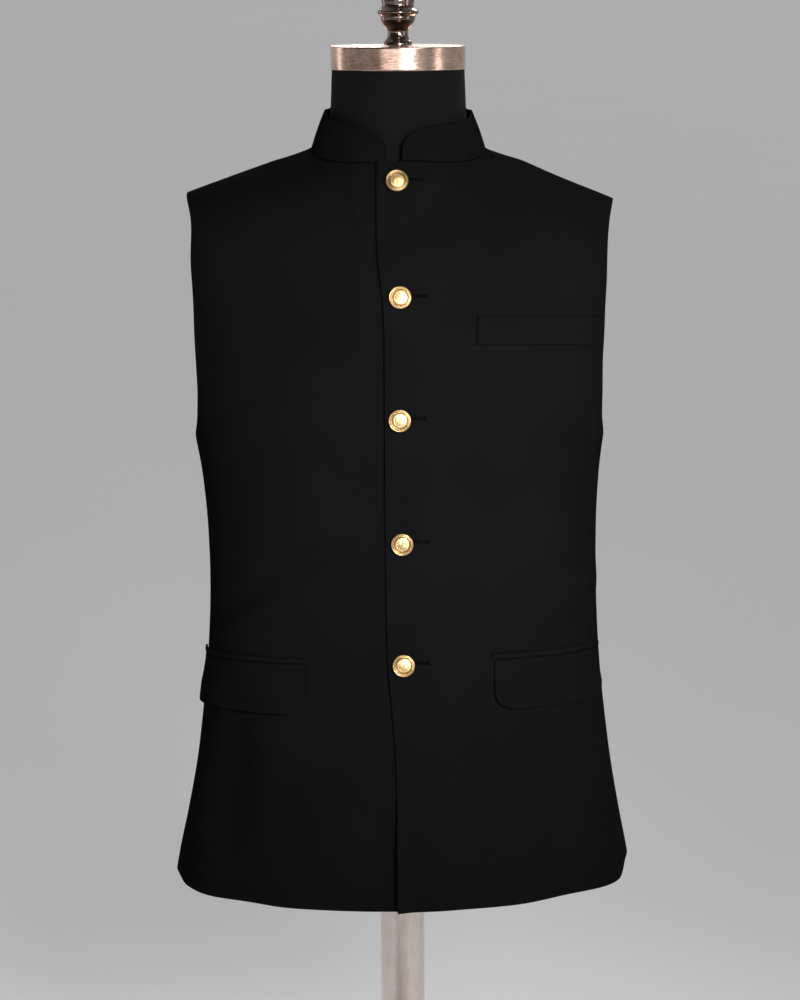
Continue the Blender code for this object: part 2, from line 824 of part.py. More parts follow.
def make_form(collection, jersey):
    rings = [form_ring(z) for z in FORM_HEIGHTS]
    rings += [neck_ring(z, radius) for z, radius in FORM_NECK]
    bm = bmesh.new()
    loops = [[bm.verts.new(point) for point in ring] for ring in rings]
    for low, high in zip(loops, loops[1:]):
        for i in range(FORM_TURNS):
            j = (i + 1) % FORM_TURNS
            bm.faces.new((low[i], low[j], high[j], high[i]))
    bm.faces.new(loops[0])
    bm.faces.new(loops[-1])
    bmesh.ops.recalc_face_normals(bm, faces=bm.faces)
    mesh = bpy.data.meshes.new("dress_form")
    bm.to_mesh(mesh)
    bm.free()
    mesh.shade_smooth()
    mesh.set_sharp_from_angle(angle=math.radians(50))
    add_object("dress_form", mesh, collection, jersey)


def make_stand(collection, copper, bronze, steel):
    neck_top = FORM_NECK[-1][0]
    cap_bottom = neck_top + GAP
    cap = (
        (CAP_HEIGHT, 0.0),
        (CAP_HEIGHT, CAP_RADIUS - 2 * CAP_EDGE),
        (CAP_HEIGHT - 0.3 * CAP_EDGE, CAP_RADIUS - 0.8 * CAP_EDGE),
        (CAP_HEIGHT - CAP_EDGE, CAP_RADIUS),
        (CAP_EDGE, CAP_RADIUS),
        (0.3 * CAP_EDGE, CAP_RADIUS - 0.3 * CAP_EDGE),
        (0.0, CAP_RADIUS - CAP_EDGE),
        (0.0, 0.0),
    )
    turned("neck_cap", cap, CAP_TURNS, collection, copper).location = (0.0, 0.0, cap_bottom)
    finial = turned("finial", FINIAL_PROFILE, FINIAL_TURNS, collection, bronze)
    finial.location = (0.0, 0.0, cap_bottom + CAP_HEIGHT + GAP)
    pole_bottom = BASE_HEIGHT + GAP
    pole_top = FORM_HEIGHTS[0] - GAP
    pole = (
        (pole_top, 0.0),
        (pole_top, POLE_RADIUS),
        (pole_bottom, POLE_RADIUS),
        (pole_bottom, 0.0),
    )
    turned("pole", pole, POLE_TURNS, collection, steel).location = (POLE_X, 0.0, 0.0)
    turned("base", BASE_PROFILE, BASE_TURNS, collection, steel)


def main():
    for obj in list(bpy.data.objects):
        bpy.data.objects.remove(obj)
    collection = bpy.data.collections.new(PART_NAME)
    bpy.context.scene.collection.children.link(collection)
    cloth = material("black_suiting", (0.0045, 0.0045, 0.0052), 0.82)
    jersey = material("black_jersey", (0.011, 0.011, 0.013), 0.90)
    gold = material("antique_gold", (0.72, 0.50, 0.24), 0.34, 1.0)
    copper = material("brushed_copper", (0.80, 0.60, 0.50), 0.30, 1.0)
    bronze = material("dark_bronze", (0.30, 0.23, 0.20), 0.24, 1.0)
    chrome = material("copper_chrome", (0.80, 0.68, 0.62), 0.14, 1.0)
    grids = make_panels(collection, cloth)
    shell("collar", collar_rows(grids), COLLAR_WALL, collection, cloth)
    make_pockets(grids, collection, cloth)
    make_buttons(collection, gold)
    make_form(collection, jersey)
    make_stand(collection, copper, bronze, chrome)


main()
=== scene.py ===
# Looks of a Nehru jacket on a limbless dress form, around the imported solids. Metres, +Z up. The
# front faces -Y, and +X is the wearer's left. The cloth runs on the solids' own surfaces, with
# its creases, rounded edges, buttonholes and weave.

import math

import bpy
import numpy as np
from mathutils import Matrix, Vector


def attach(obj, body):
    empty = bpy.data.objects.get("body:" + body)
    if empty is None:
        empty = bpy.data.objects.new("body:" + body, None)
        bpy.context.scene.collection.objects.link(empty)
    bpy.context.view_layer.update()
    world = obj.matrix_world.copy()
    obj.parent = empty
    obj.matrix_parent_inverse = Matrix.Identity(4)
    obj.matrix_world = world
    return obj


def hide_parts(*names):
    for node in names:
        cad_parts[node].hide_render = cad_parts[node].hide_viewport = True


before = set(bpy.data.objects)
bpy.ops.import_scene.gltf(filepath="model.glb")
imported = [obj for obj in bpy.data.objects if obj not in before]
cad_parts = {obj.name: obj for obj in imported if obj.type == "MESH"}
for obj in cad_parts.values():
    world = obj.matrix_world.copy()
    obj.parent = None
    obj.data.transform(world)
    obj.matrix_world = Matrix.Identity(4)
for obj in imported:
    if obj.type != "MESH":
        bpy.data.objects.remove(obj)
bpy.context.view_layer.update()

# Cloth thicknesses and gaps
WALL = 0.0016
COLLAR_WALL = 0.0020
FLAP_WALL = 0.0018
JET_WALL = 0.0022
GAP = 0.0003
SEAM_HALF = 0.00003
LAP_LIFT = WALL + 0.0016

# Heights of the jacket's main points
HEM_Z = 0.372
HEM_SLOPE = 0.018
HEM_FADE = 0.28
HEM_CORNER_LEFT = 0.0098
HEM_CORNER_RIGHT = 0.0036
HEM_CORNER_START = 0.163
HEM_CORNER_REACH = 0.035
UNDERARM_Z = 0.784
FAN_Z = 0.935
NECK_FRONT_Z = 1.0385
NECK_BACK_Z = 1.0560
NECK_HALF = 0.0795

# The body's level sections, as superellipses
SECTION_COLUMNS = ("height", "half_width", "front", "back", "centre", "squareness")
SECTIONS = (
    (0.350, 0.2180, 0.1540, 0.1530, 0.0016, 2.02),
    (0.390, 0.2112, 0.1500, 0.1490, 0.0018, 2.04),
    (0.430, 0.2028, 0.1460, 0.1450, 0.0022, 2.07),
    (0.480, 0.1936, 0.1410, 0.1390, 0.0026, 2.12),
    (0.530, 0.1871, 0.1355, 0.1310, 0.0026, 2.18),
    (0.580, 0.1822, 0.1300, 0.1220, 0.0026, 2.25),
    (0.640, 0.1794, 0.1250, 0.1110, 0.0026, 2.25),
    (0.700, 0.1796, 0.1240, 0.1060, 0.0020, 2.25),
    (0.745, 0.1826, 0.1270, 0.1100, 0.0008, 2.28),
    (0.784, 0.1876, 0.1300, 0.1160, 0.0000, 2.30),
    (0.812, 0.1924, 0.1296, 0.1188, 0.0000, 2.30),
    (0.845, 0.1980, 0.1270, 0.1205, 0.0000, 2.30),
    (0.885, 0.2030, 0.1210, 0.1215, 0.0000, 2.30),
    (0.930, 0.2070, 0.1120, 0.1190, 0.0000, 2.30),
    (0.980, 0.2090, 0.0990, 0.1080, 0.0000, 2.30),
    (1.010, 0.2105, 0.0915, 0.1000, 0.0000, 2.30),
    (1.050, 0.2120, 0.0850, 0.0910, 0.0000, 2.30),
)

# The body's top line over each half width. Outside the neck it is the shoulder seam.
SHOULDER_COLUMNS = ("half_width", "front", "back")
SHOULDER = (
    (-0.041, 1.075, 1.086), (0.0, 1.085, 1.096), (0.041, 1.075, 1.086), (0.0615, 1.06, 1.069),
    (0.0795, 1.0476, 1.0476), (0.116, 1.0343, 1.0343), (0.156, 1.0196, 1.0196),
    (0.197, 1.004, 1.004), (0.22, 0.994, 0.994),
)
SHOULDER_LEAN = 0.0145
SHOULDER_RISE = 0.0025
SHOULDER_RISE_X = 0.105
SHOULDER_RISE_SPREAD = 0.030
CROWN_AT_NECK = 0.090
CROWN_AT_TIP = 0.060
TIP_HALF = 0.1970
TIP_INSET = 0.0036
TIP_INSET_Z = 0.940
TIP_INSET_REACH = 0.055
NORMAL_STEP = 0.002

# The armhole's edge, as its distance from the middle at each height
ARMHOLE_COLUMNS = ("height", "front", "back")
ARMHOLE = (
    (0.784, 0.1876, 0.1876), (0.812, 0.185, 0.1858), (0.832, 0.1838, 0.1852),
    (0.85, 0.184, 0.1856), (0.887, 0.1853, 0.1868), (0.923, 0.1866, 0.1885),
    (0.959, 0.1885, 0.1905), (0.985, 0.1912, 0.1925), (1.006, 0.197, 0.197),
)

# The lap's edge at each height
LAP_COLUMNS = ("height", "edge")
LAP = (
    (0.35, -0.0036), (0.5, -0.0045), (0.54, -0.007), (0.6, -0.0118), (0.7, -0.0132),
    (0.87, -0.0135), (0.92, -0.015), (0.96, -0.0195), (1.05, -0.02),
)
UNDER_LAP = 0.034
LAP_FADE = 0.034

# Soft flutes of the skirt: angle from the centre front towards the wearer's left, spread in
# degrees, depth and the height where it starts
FLUTES = (
    (-36.0, 9.0, 0.0014, 0.545), (-51.0, 8.0, -0.0034, 0.545), (-65.0, 7.0, 0.003, 0.53),
    (-82.0, 8.0, -0.0016, 0.52), (-112.0, 9.0, 0.0026, 0.545), (-131.0, 10.0, -0.0034, 0.545),
    (-152.0, 9.0, 0.0026, 0.545), (180.0, 9.0, -0.002, 0.545), (149.0, 9.0, 0.0028, 0.545),
    (128.0, 10.0, -0.0034, 0.545), (110.0, 9.0, 0.0024, 0.545), (84.0, 8.0, -0.0014, 0.52),
    (69.0, 7.0, 0.003, 0.53), (54.0, 9.0, -0.0036, 0.545), (36.0, 9.0, 0.0014, 0.545),
)

# Creases, as soft troughs (negative depth) and ridges: both ends as place across
# and height, how far the line bows to its left, width and depth, all in millimetres. At its ends
# each has a share of its full depth.
CREASE_END_SHARE = 0.35
CREASE_SWELL = 0.7
FRONT_CREASES = (
    (-60, 1034, -34, 935, -10, 19, -2.2), (-52, 1032, -21, 958, -10, 6.5, -2.8),
    (-23, 972, -21, 825, 0, 6.5, -2.8), (53, 1040, -4, 968, 5, 7.5, -3.5),
    (62, 1036, 12, 962, 4, 16, -1.8), (24, 1014, 3, 975, 3, 5.5, -1.8),
    (12, 952, 0, 925, 0, 6, -0.8), (160, 990, 118, 945, 6, 13, -1.4),
    (-166, 985, -122, 935, -6, 13, -1.6), (-140, 1000, -60, 960, 8, 18, -1.4),
    (178, 806, 122, 846, -6, 12, -2.4), (176, 790, 105, 815, -4, 14, 1.6),
    (-178, 802, -116, 838, 6, 12, -2.6), (-174, 786, -100, 808, 4, 14, 1.8),
    (104, 880, 88, 730, 6, 24, 2), (-96, 872, -80, 735, -6, 24, 2),
    (40, 860, 46, 700, 4, 14, -0.9), (-62, 700, -168, 622, -8, 11, -5.6),
    (-52, 716, -160, 652, -6, 12, 1.8), (-78, 662, -170, 604, -4, 9, 1.6),
    (-172, 640, -112, 612, 3, 8, -1.8), (176, 676, 98, 640, -4, 10, -4.4),
    (178, 652, 112, 622, -3, 9, 1.8), (180, 634, 142, 612, 0, 8, -2.2),
    (-48, 574, -60, 540, 0, 7, -1.6), (52, 590, 20, 556, 4, 10, -1.4),
    (46, 700, 20, 660, 4, 10, -1.4), (-52, 802, -22, 772, -4, 10, -1.2),
    (-150, 545, -166, 392, 4, 14, -6), (-124, 530, -132, 385, 3, 14, 1.6),
    (-92, 520, -100, 400, -3, 13, -1.4), (132, 560, 158, 395, -5, 17, -6.6),
    (104, 540, 116, 385, -3, 14, 1.6), (184, 470, 186, 392, 0, 9, 1.8),
    (64, 505, 70, 382, -3, 14, -1.3), (-178, 500, -192, 392, 0, 9, 1.6),
)
BACK_CREASES = (
    (18, 712, 140, 684, 6, 11, -2.9), (12, 688, 120, 662, 4, 10, 2),
    (-16, 704, -134, 672, -6, 11, -2.7), (-14, 680, -112, 652, -4, 10, 2),
    (148, 660, 70, 634, -3, 9, -1.7), (-150, 652, -78, 630, 3, 9, -1.5),
    (92, 978, 166, 902, 10, 13, -1.7), (-88, 984, -168, 896, -10, 13, -1.9),
    (170, 812, 108, 858, -6, 12, -2.2), (-172, 806, -104, 850, 6, 12, -2.4),
    (52, 930, 60, 760, 8, 20, 1.9), (-56, 924, -50, 764, -8, 20, 1.7),
    (108, 540, 126, 388, -5, 13, -2.2), (-112, 535, -134, 384, 5, 13, -2.4),
    (44, 520, 48, 380, -3, 14, 1.5), (-50, 515, -46, 380, 3, 14, 1.5),
)

# Fine unevenness of the cloth: waves to the metre across and up, phase and depth. The backs have
# the waves a little further on.
BACK_PHASE = 2.0
WAVES = (
    (9.0, 4.0, 0.4, 0.0003), (-7.0, 11.0, 1.9, 0.00026), (17.0, 7.0, 3.1, 0.00016),
    (5.0, -19.0, 0.9, 0.00014), (-23.0, 13.0, 5.2, 9e-05), (29.0, 21.0, 2.4, 6e-05),
)

# The creases fade out below the shoulder line and over an angle from the side seam, so that the
# panels' edges meet.
QUIET_START = 0.004
QUIET_REACH = 0.045
SEAM_FADE = 0.16

# The lap's edge turns out a little above the hem.
CURL_TOP_Z = 0.475
CURL_FADE = 0.05
CURL_SPREAD = 0.0095
CURL_LIFT = 0.0070

# Panels: name, side and whether it is a back
PANELS = (
    ("front_left", 1, False),
    ("front_right", -1, False),
    ("back_left", 1, True),
    ("back_right", -1, True),
)
PANEL_COLUMNS = 66
PANEL_WIDTH = 0.26
SKIRT_ROWS = 104
CHEST_ROWS = 40
CHEST_SPACING = 1.6
FAN_ROWS = 46
FAN_FRONT_SHARE = 5 / 14
EDGE_STEPS = (0.10, 0.35, 0.80, 1.60)

# Collar
COLLAR_LEFT_END = 0.0032
COLLAR_RIGHT_END = -0.0112
COLLAR_COLUMNS = ("along", "height")
COLLAR_HEIGHT = (
    (0.0, 0.0135), (0.003, 0.019), (0.007, 0.0228), (0.014, 0.0262), (0.032, 0.0318),
    (0.06, 0.035), (0.1, 0.0352), (0.3, 0.0357),
)
LEAN_COLUMNS = ("angle", "lean")
COLLAR_LEAN = (
    (0.0, 0.28), (90.0, 0.36), (180.0, 0.16),
)
COLLAR_ALONG = 230
COLLAR_UP = 22
COLLAR_BELLY = 0.0006
COLLAR_SINK = 0.0012
COLLAR_MEAN_HEIGHT = 0.034

# Pocket pieces: both ends across, the heights of the top edge there and the depth
PATCH_KEYS = ("inner", "outer", "inner_top", "outer_top", "depth")
WELT = dict(zip(PATCH_KEYS, (0.0690, 0.1770, 0.9052, 0.9002, 0.0250)))
FLAP_RIGHT = dict(zip(PATCH_KEYS, (0.0858, 0.1796, 0.5918, 0.5812, 0.0455)))
FLAP_LEFT = dict(zip(PATCH_KEYS, (0.0834, 0.1790, 0.5966, 0.5905, 0.0455)))
FLAP_CORNER = 0.016
FLAP_STAND = 0.0027
JET_DEPTH = 0.0055
JET_OVERHANG = 0.0020
TOP_BEND = 1.5
STAND_BEND = 1.5
TURN_LENGTH = 0.14
WELT_ROLL = 0.0003
JET_ROLL = 0.0004

# Buttons: place across and height
BUTTONS = (
    (-0.0014, 1.0213), (0.0009, 0.9218), (0.0001, 0.8153), (0.0018, 0.704), (0.0027, 0.594),
)
BUTTON_RADIUS = 0.0100
BUTTON_TURNS = 120
BUTTON_CIRCLES = 72
# Grooves and rim of a button's face: radius, spread and rise
BUTTON_RINGS = (
    (0.00680, 0.00035, -0.00045),
    (0.00865, 0.00022, -0.00022),
    (0.00930, 0.00045, 0.00035),
)
# A button's side and shank, from the rim down: radius and height
BUTTON_SIDE = (
    (0.00985, 0.0044), (0.01, 0.004), (0.01, 0.0034), (0.0096, 0.0029), (0.0088, 0.0026),
    (0.0022, 0.0024), (0.0018, 0.002), (0.0018, 0.0002), (0.0014, 0.0),
)
DIMPLE_SPREAD = 0.013
DIMPLE_DEPTH = 0.0005

# Buttonholes, from the button's centre towards the wearer's left
HOLE_START = -0.0020
HOLE_END = 0.0205
HOLE_RISE = 0.0016
STITCH_PITCH = 0.00060
STITCH_LENGTH = 0.0012
STITCH_RADIUS = 0.00030
STITCH_SEAT = 0.4
STITCH_ARCH = 0.6
STITCH_TAPER = 0.35
BAR_STITCHES = 3
BAR_PITCH = 1.6 * STITCH_RADIUS
BAR_HALF = 0.0019
SLIT_HALF = 0.00020

# Dress form
FORM_COLUMNS = ("height", "half_width", "front", "back", "squareness")
FORM_SECTIONS = (
    (0.440, 0.1640, 0.1120, 0.1180, 2.20),
    (0.500, 0.1680, 0.1150, 0.1180, 2.20),
    (0.560, 0.1680, 0.1150, 0.1090, 2.20),
    (0.620, 0.1630, 0.1110, 0.0970, 2.20),
    (0.680, 0.1640, 0.1110, 0.0930, 2.20),
    (0.740, 0.1670, 0.1150, 0.0980, 2.25),
    (0.784, 0.1700, 0.1190, 0.1050, 2.35),
    (0.830, 0.1705, 0.1190, 0.1095, 2.45),
    (0.880, 0.1725, 0.1130, 0.1120, 2.50),
    (0.930, 0.1755, 0.1050, 0.1090, 2.50),
    (0.965, 0.1800, 0.0960, 0.1030, 2.50),
    (0.990, 0.1830, 0.0900, 0.0970, 2.50),
    (1.050, 0.1830, 0.0780, 0.0780, 2.50),
)
FORM_SHOULDER_DROP = WALL + 0.0008
FORM_NECK_DROP = 0.0045
FORM_NECK_REACH = 0.130
NECK_COLUMNS = ("height", "radius")
FORM_NECK = (
    (1.045, 0.068), (1.052, 0.0645), (1.065, 0.0625), (1.085, 0.0616), (1.1186, 0.0603),
)
FORM_BOTTOM_Z = 0.440
FORM_TOP_Z = 1.038
FORM_TURNS = 128
FORM_RINGS = 90
NECK_RINGS = 24
FORM_HALVINGS = 40
FORM_ROUNDING = 0.006
FORM_ROUNDING_REACH = 0.004

# Stand
CAP_RADIUS = 0.0613
CAP_HEIGHT = 0.0215
CAP_EDGE = 0.0012
FINIAL_SEAT = 0.0125
POLE_RADIUS = 0.0206
POLE_X = 0.0007
BASE_HEIGHT = 0.016
# Base's heights and radii from the top down
BASE_PROFILE = (
    (BASE_HEIGHT, 0.000), (BASE_HEIGHT, 0.030), (0.0150, 0.060), (0.0090, 0.154), (0.0070, 0.159),
    (0.0050, 0.160), (0.0010, 0.160), (0.0000, 0.159), (0.0000, 0.000),
)
# Finial's heights and radii from the top down, in millimetres
FINIAL_PROFILE = (
    (80, 0), (79.6, 3), (78, 5.5), (75.5, 6.6), (73, 6), (70.5, 9.2), (65.5, 14.8), (59, 17.6),
    (52.5, 16.6), (48.5, 12.8), (46, 11.6), (43.5, 14.2), (40, 15.2), (37, 14.4), (34, 15),
    (30.8, 18.6), (29.6, 19), (28, 18.4), (26.2, 15.8), (24.8, 16), (21.5, 15.3), (17.5, 12.8),
    (14, 9.8), (12, 9.3), (8.5, 9.6), (5.5, 10.4), (3, 12.8), (1.2, 13.2), (0, 13), (0, 0),
)
TURNS = 128

# Finishes: the suiting's yarns and the radius of the ring of painted shade on the buttons
YARN_PITCH = 0.00042
SHADE_RING_RADIUS = 0.0072

# Metals: name, dark and light tone, roughness of both, stretch of the brushing and its depth
METALS = (
    ("brushed_copper", (0.36, 0.22, 0.165), (0.88, 0.63, 0.51), 0.14, 0.30, (14.0, 900.0), 3e-5),
    ("dark_bronze", (0.10, 0.068, 0.055), (0.36, 0.27, 0.23), 0.08, 0.17, (10.0, 500.0), 2e-5),
    ("copper_chrome", (0.76, 0.63, 0.57), (0.86, 0.76, 0.71), 0.08, 0.16, (8.0, 60.0), 1e-5),
)

# Studio: name, azimuth, height, distance, size, radiance and spread in degrees of each soft box
SOFT_BOXES = (
    ("front_box", 17.0, 1.30, 2.0, (0.6, 0.5), 2.2, 34),
    ("high_box", 40.0, 1.75, 2.2, (0.6, 0.6), 2.2, 180),
    ("top_box", 10.0, 2.50, 1.7, (0.6, 0.3), 4.0, 180),
    ("ring_box", -3.5, 1.06, 2.6, (2.3, 0.22), 2.8, 180),
    ("right_box", 72.0, 1.05, 2.4, (0.5, 1.5), 1.6, 180),
    ("left_box", -118.0, 1.00, 2.6, (0.5, 1.5), 1.2, 180),
    ("back_box", 190.0, 2.20, 2.0, (0.8, 0.6), 2.6, 60),
)
LIGHT_AIM_Z = 0.75
WORLD_FRONT = (0.05, 0.05, 0.05)
WORLD_BACK = (0.50, 0.50, 0.50)
SUN_FROM = (0.35, 1.0, 0.75)
SUN_POWER = 1.9
SUN_SPREAD = 30
FLOOR_HALF = 400.0   # far enough for its edge to stay out of the main view

# Camera
CAMERA_PLACE = (0.0, -3.0, 1.216)
CAMERA_PITCH = 9.34
CAMERA_ROLL = 0.25
CAMERA_LENS = 118
CAMERA_SENSOR = 36


def read_off(rows, columns, name, at):
    """A table's values at places, on a smooth curve through its rows."""
    data = np.array(rows)
    places, values = data[:, 0], data[:, columns.index(name)]
    count = len(places)
    after = np.minimum(np.arange(count) + 1, count - 1)
    before = np.maximum(np.arange(count) - 1, 0)
    slopes = (values[after] - values[before]) / (places[after] - places[before])
    at = np.clip(at, places[0], places[-1])
    low = np.clip(np.searchsorted(places, at, side="right") - 1, 0, count - 2)
    span = places[low + 1] - places[low]
    t = (at - places[low]) / span
    rise = values[low + 1] - values[low]
    start, end = slopes[low] * span, slopes[low + 1] * span
    curve = t * t * (3 * rise - 2 * start - end) + t**3 * (start + end - 2 * rise)
    return values[low] + t * start + curve


def section(name, height):
    return read_off(SECTIONS, SECTION_COLUMNS, name, height)


def mix(a, b, t):
    return a + (b - a) * t


def ease(t):
    """Smooth step from 0 to 1."""
    t = np.clip(t, 0.0, 1.0)
    return t * t * (3 - 2 * t)


def unit(vectors):
    length = np.linalg.norm(vectors, axis=-1, keepdims=True)
    return vectors / np.maximum(length, 1e-12)


def shoulder_line(x, back):
    """Height of the body's top line over a place across."""
    name = "back" if back else "front"
    rise = SHOULDER_RISE * np.exp(-(((x - SHOULDER_RISE_X) / SHOULDER_RISE_SPREAD) ** 2))
    return read_off(SHOULDER, SHOULDER_COLUMNS, name, np.abs(x)) - SHOULDER_LEAN * x + rise


def oval(share, squareness):
    """Depth of a superellipse of depth 1 at a share of its half width."""
    share = np.minimum(np.abs(share), 1.0)
    return (1 - share**squareness) ** (1 / squareness)


def crown(x, z, top):
    """Share of the full depth left below the rounded shoulder."""
    reach = ease((np.abs(x) - NECK_HALF) / (TIP_HALF - NECK_HALF))
    height = mix(CROWN_AT_NECK, CROWN_AT_TIP, reach)
    left = 1 - np.clip((top - z) / height, 0.0, 1.0)
    return np.sqrt(1 - left * left)


def flute(x, y, z):
    """How far the skirt's flutes stand out or in."""
    angle = np.degrees(np.arctan2(x, -y))
    total = np.zeros(np.broadcast(x, y, z).shape)
    for middle, spread, depth, starts in FLUTES:
        away = (angle - middle + 180) % 360 - 180
        fade = ease((starts - z) / (starts - HEM_Z))
        total = total + depth * fade * np.exp(-((away / spread) ** 2))
    return total


def body(x, z, back):
    """Points of the jacket's outer surface over places across and heights."""
    name = "back" if back else "front"
    share = (x - section("centre", z)) / section("half_width", z)
    depth = section(name, z) * oval(share, section("squareness", z))
    depth = depth * crown(x, z, shoulder_line(x, back))
    y = depth if back else -depth
    out = 1 + flute(x, y, z) / np.maximum(np.hypot(x, y), 1e-6)
    return np.stack([x * out, y * out, z + 0 * x], axis=-1)


def outward(x, z, back):
    """Outward directions of the jacket's surface."""
    inward = np.where(x > 0, -NORMAL_STEP, NORMAL_STEP)
    here = body(x, z, back)
    across = body(x + inward, z, back) - here
    up = here - body(x, z - NORMAL_STEP, back)
    normal = np.cross(across, up)
    facing = normal[..., 0] * x + normal[..., 1] * (1 if back else -1)
    return unit(normal * np.where(facing < 0, -1, 1)[..., None])


def lap_edge(z):
    return read_off(LAP, LAP_COLUMNS, "edge", z)


def crease(x, z, line):
    """Depth of one crease, given in millimetres, at places across and heights in metres."""
    x1, z1, x2, z2, bow, width, depth = (value / 1000 for value in line)
    dx, dz = x2 - x1, z2 - z1
    length = math.hypot(dx, dz)
    along = ((x - x1) * dx + (z - z1) * dz) / length**2
    aside = ((x - x1) * -dz + (z - z1) * dx) / length
    t = np.clip(along, 0.0, 1.0)
    aside = aside - bow * 4 * t * (1 - t)
    beyond = (along - t) * length
    near = np.exp(-(aside**2 + beyond**2) / width**2)
    return depth * near * mix(CREASE_END_SHARE, 1.0, np.sin(np.pi * t) ** CREASE_SWELL)


def relief(x, z, back):
    """Creases, dimples and fine unevenness of a panel."""
    total = sum(crease(x, z, line) for line in (BACK_CREASES if back else FRONT_CREASES))
    for across, up, phase, depth in WAVES:
        turn = 2 * np.pi * (across * x + up * z) + phase + BACK_PHASE * back
        total = total + depth * np.sin(turn)
    if not back:
        for bx, bz in BUTTONS:
            away = ((x - bx) ** 2 + (z - bz) ** 2) / DIMPLE_SPREAD**2
            total = total - DIMPLE_DEPTH * np.exp(-away)
    quiet = ease((shoulder_line(x, back) - z - QUIET_START) / QUIET_REACH)
    return total * quiet * ease((np.pi / 2 - np.abs(turn_of(x, z))) / SEAM_FADE)


def lap_lift(x, z):
    """How far the left front stands off the right one, with its edge turned out above the hem."""
    past = x - lap_edge(z)
    lift = LAP_LIFT * (1 - ease((past - UNDER_LAP) / LAP_FADE))
    curl = CURL_LIFT * ease((CURL_TOP_Z - z) / CURL_FADE) * np.exp(-((past / CURL_SPREAD) ** 2))
    return lift + curl


def cloth(x, z, back=False, lap=False, lift=0.0):
    """Points and outward directions of a panel's outer face, moved out by a lift."""
    normal = outward(x, z, back)
    out = relief(x, z, back) + lift
    if lap:
        out = out + lap_lift(x, z)
    points = body(x, z, back) + normal * np.asarray(out)[..., None]
    points[..., 1] += SEAM_HALF if back else -SEAM_HALF
    return points, normal


def turn_of(x, z):
    """Angle round the section at a place across, 0 at the middle and 90 degrees at the side."""
    share = np.clip((x - section("centre", z)) / section("half_width", z), -1.0, 1.0)
    return np.sign(share) * np.arcsin(np.abs(share) ** (section("squareness", z) / 2))


def place_of(turn, z):
    """Place across at an angle round the section."""
    share = np.abs(np.sin(turn)) ** (2 / section("squareness", z))
    return section("centre", z) + np.sign(turn) * share * section("half_width", z)


def outer_edge(side, z, back):
    """Place across of a panel's outer edge: the side seam, then the armhole."""
    name = "back" if back else "front"
    seam = place_of(side * np.pi / 2, z)
    half = read_off(ARMHOLE, ARMHOLE_COLUMNS, name, z)
    if side < 0:
        half = half - TIP_INSET * ease((z - TIP_INSET_Z) / TIP_INSET_REACH)
    return np.where(z <= UNDERARM_Z, seam, side * half)


def shoulder_tip(side):
    """Place across of the shoulder seam's outer end."""
    return side * TIP_HALF if side > 0 else side * (TIP_HALF - TIP_INSET)


def neckline(side, share, back):
    """Places across and heights of the neckline, from the middle (0) to the shoulder seam (1)."""
    x = side * NECK_HALF * np.sin(share * np.pi / 2)
    if back:
        drop = (shoulder_line(0.0, True) - NECK_BACK_Z) * np.cos(share * np.pi / 2) ** 2
        return x, shoulder_line(x, True) - drop
    top = shoulder_line(side * NECK_HALF, False)
    z = mix(NECK_FRONT_Z, top, np.maximum(share, 0.0) ** 4)
    return x, z


def inner_x(side, z, back):
    """Place across of a panel's middle edge."""
    if back:
        return side * SEAM_HALF + 0 * z
    return lap_edge(z) if side > 0 else lap_edge(z) + UNDER_LAP


def row_height(level, x):
    """Height of a level row over a place across. The hem rises towards the wearer's left."""
    corner = np.where(x > 0, HEM_CORNER_LEFT, HEM_CORNER_RIGHT)
    rise = HEM_SLOPE * x + corner * ease((np.abs(x) - HEM_CORNER_START) / HEM_CORNER_REACH)
    return level + rise * (1 - ease((level - HEM_Z) / HEM_FADE))


def edge_spaced(count, length):
    """Shares from 0 to 1 with close steps at both ends, where the edge is rounded."""
    steps = np.array([0.0, *EDGE_STEPS]) * WALL / length
    middle = np.linspace(steps[-1], 1 - steps[-1], count)
    return np.concatenate([steps[:-1], middle, 1 - steps[:-1][::-1]])


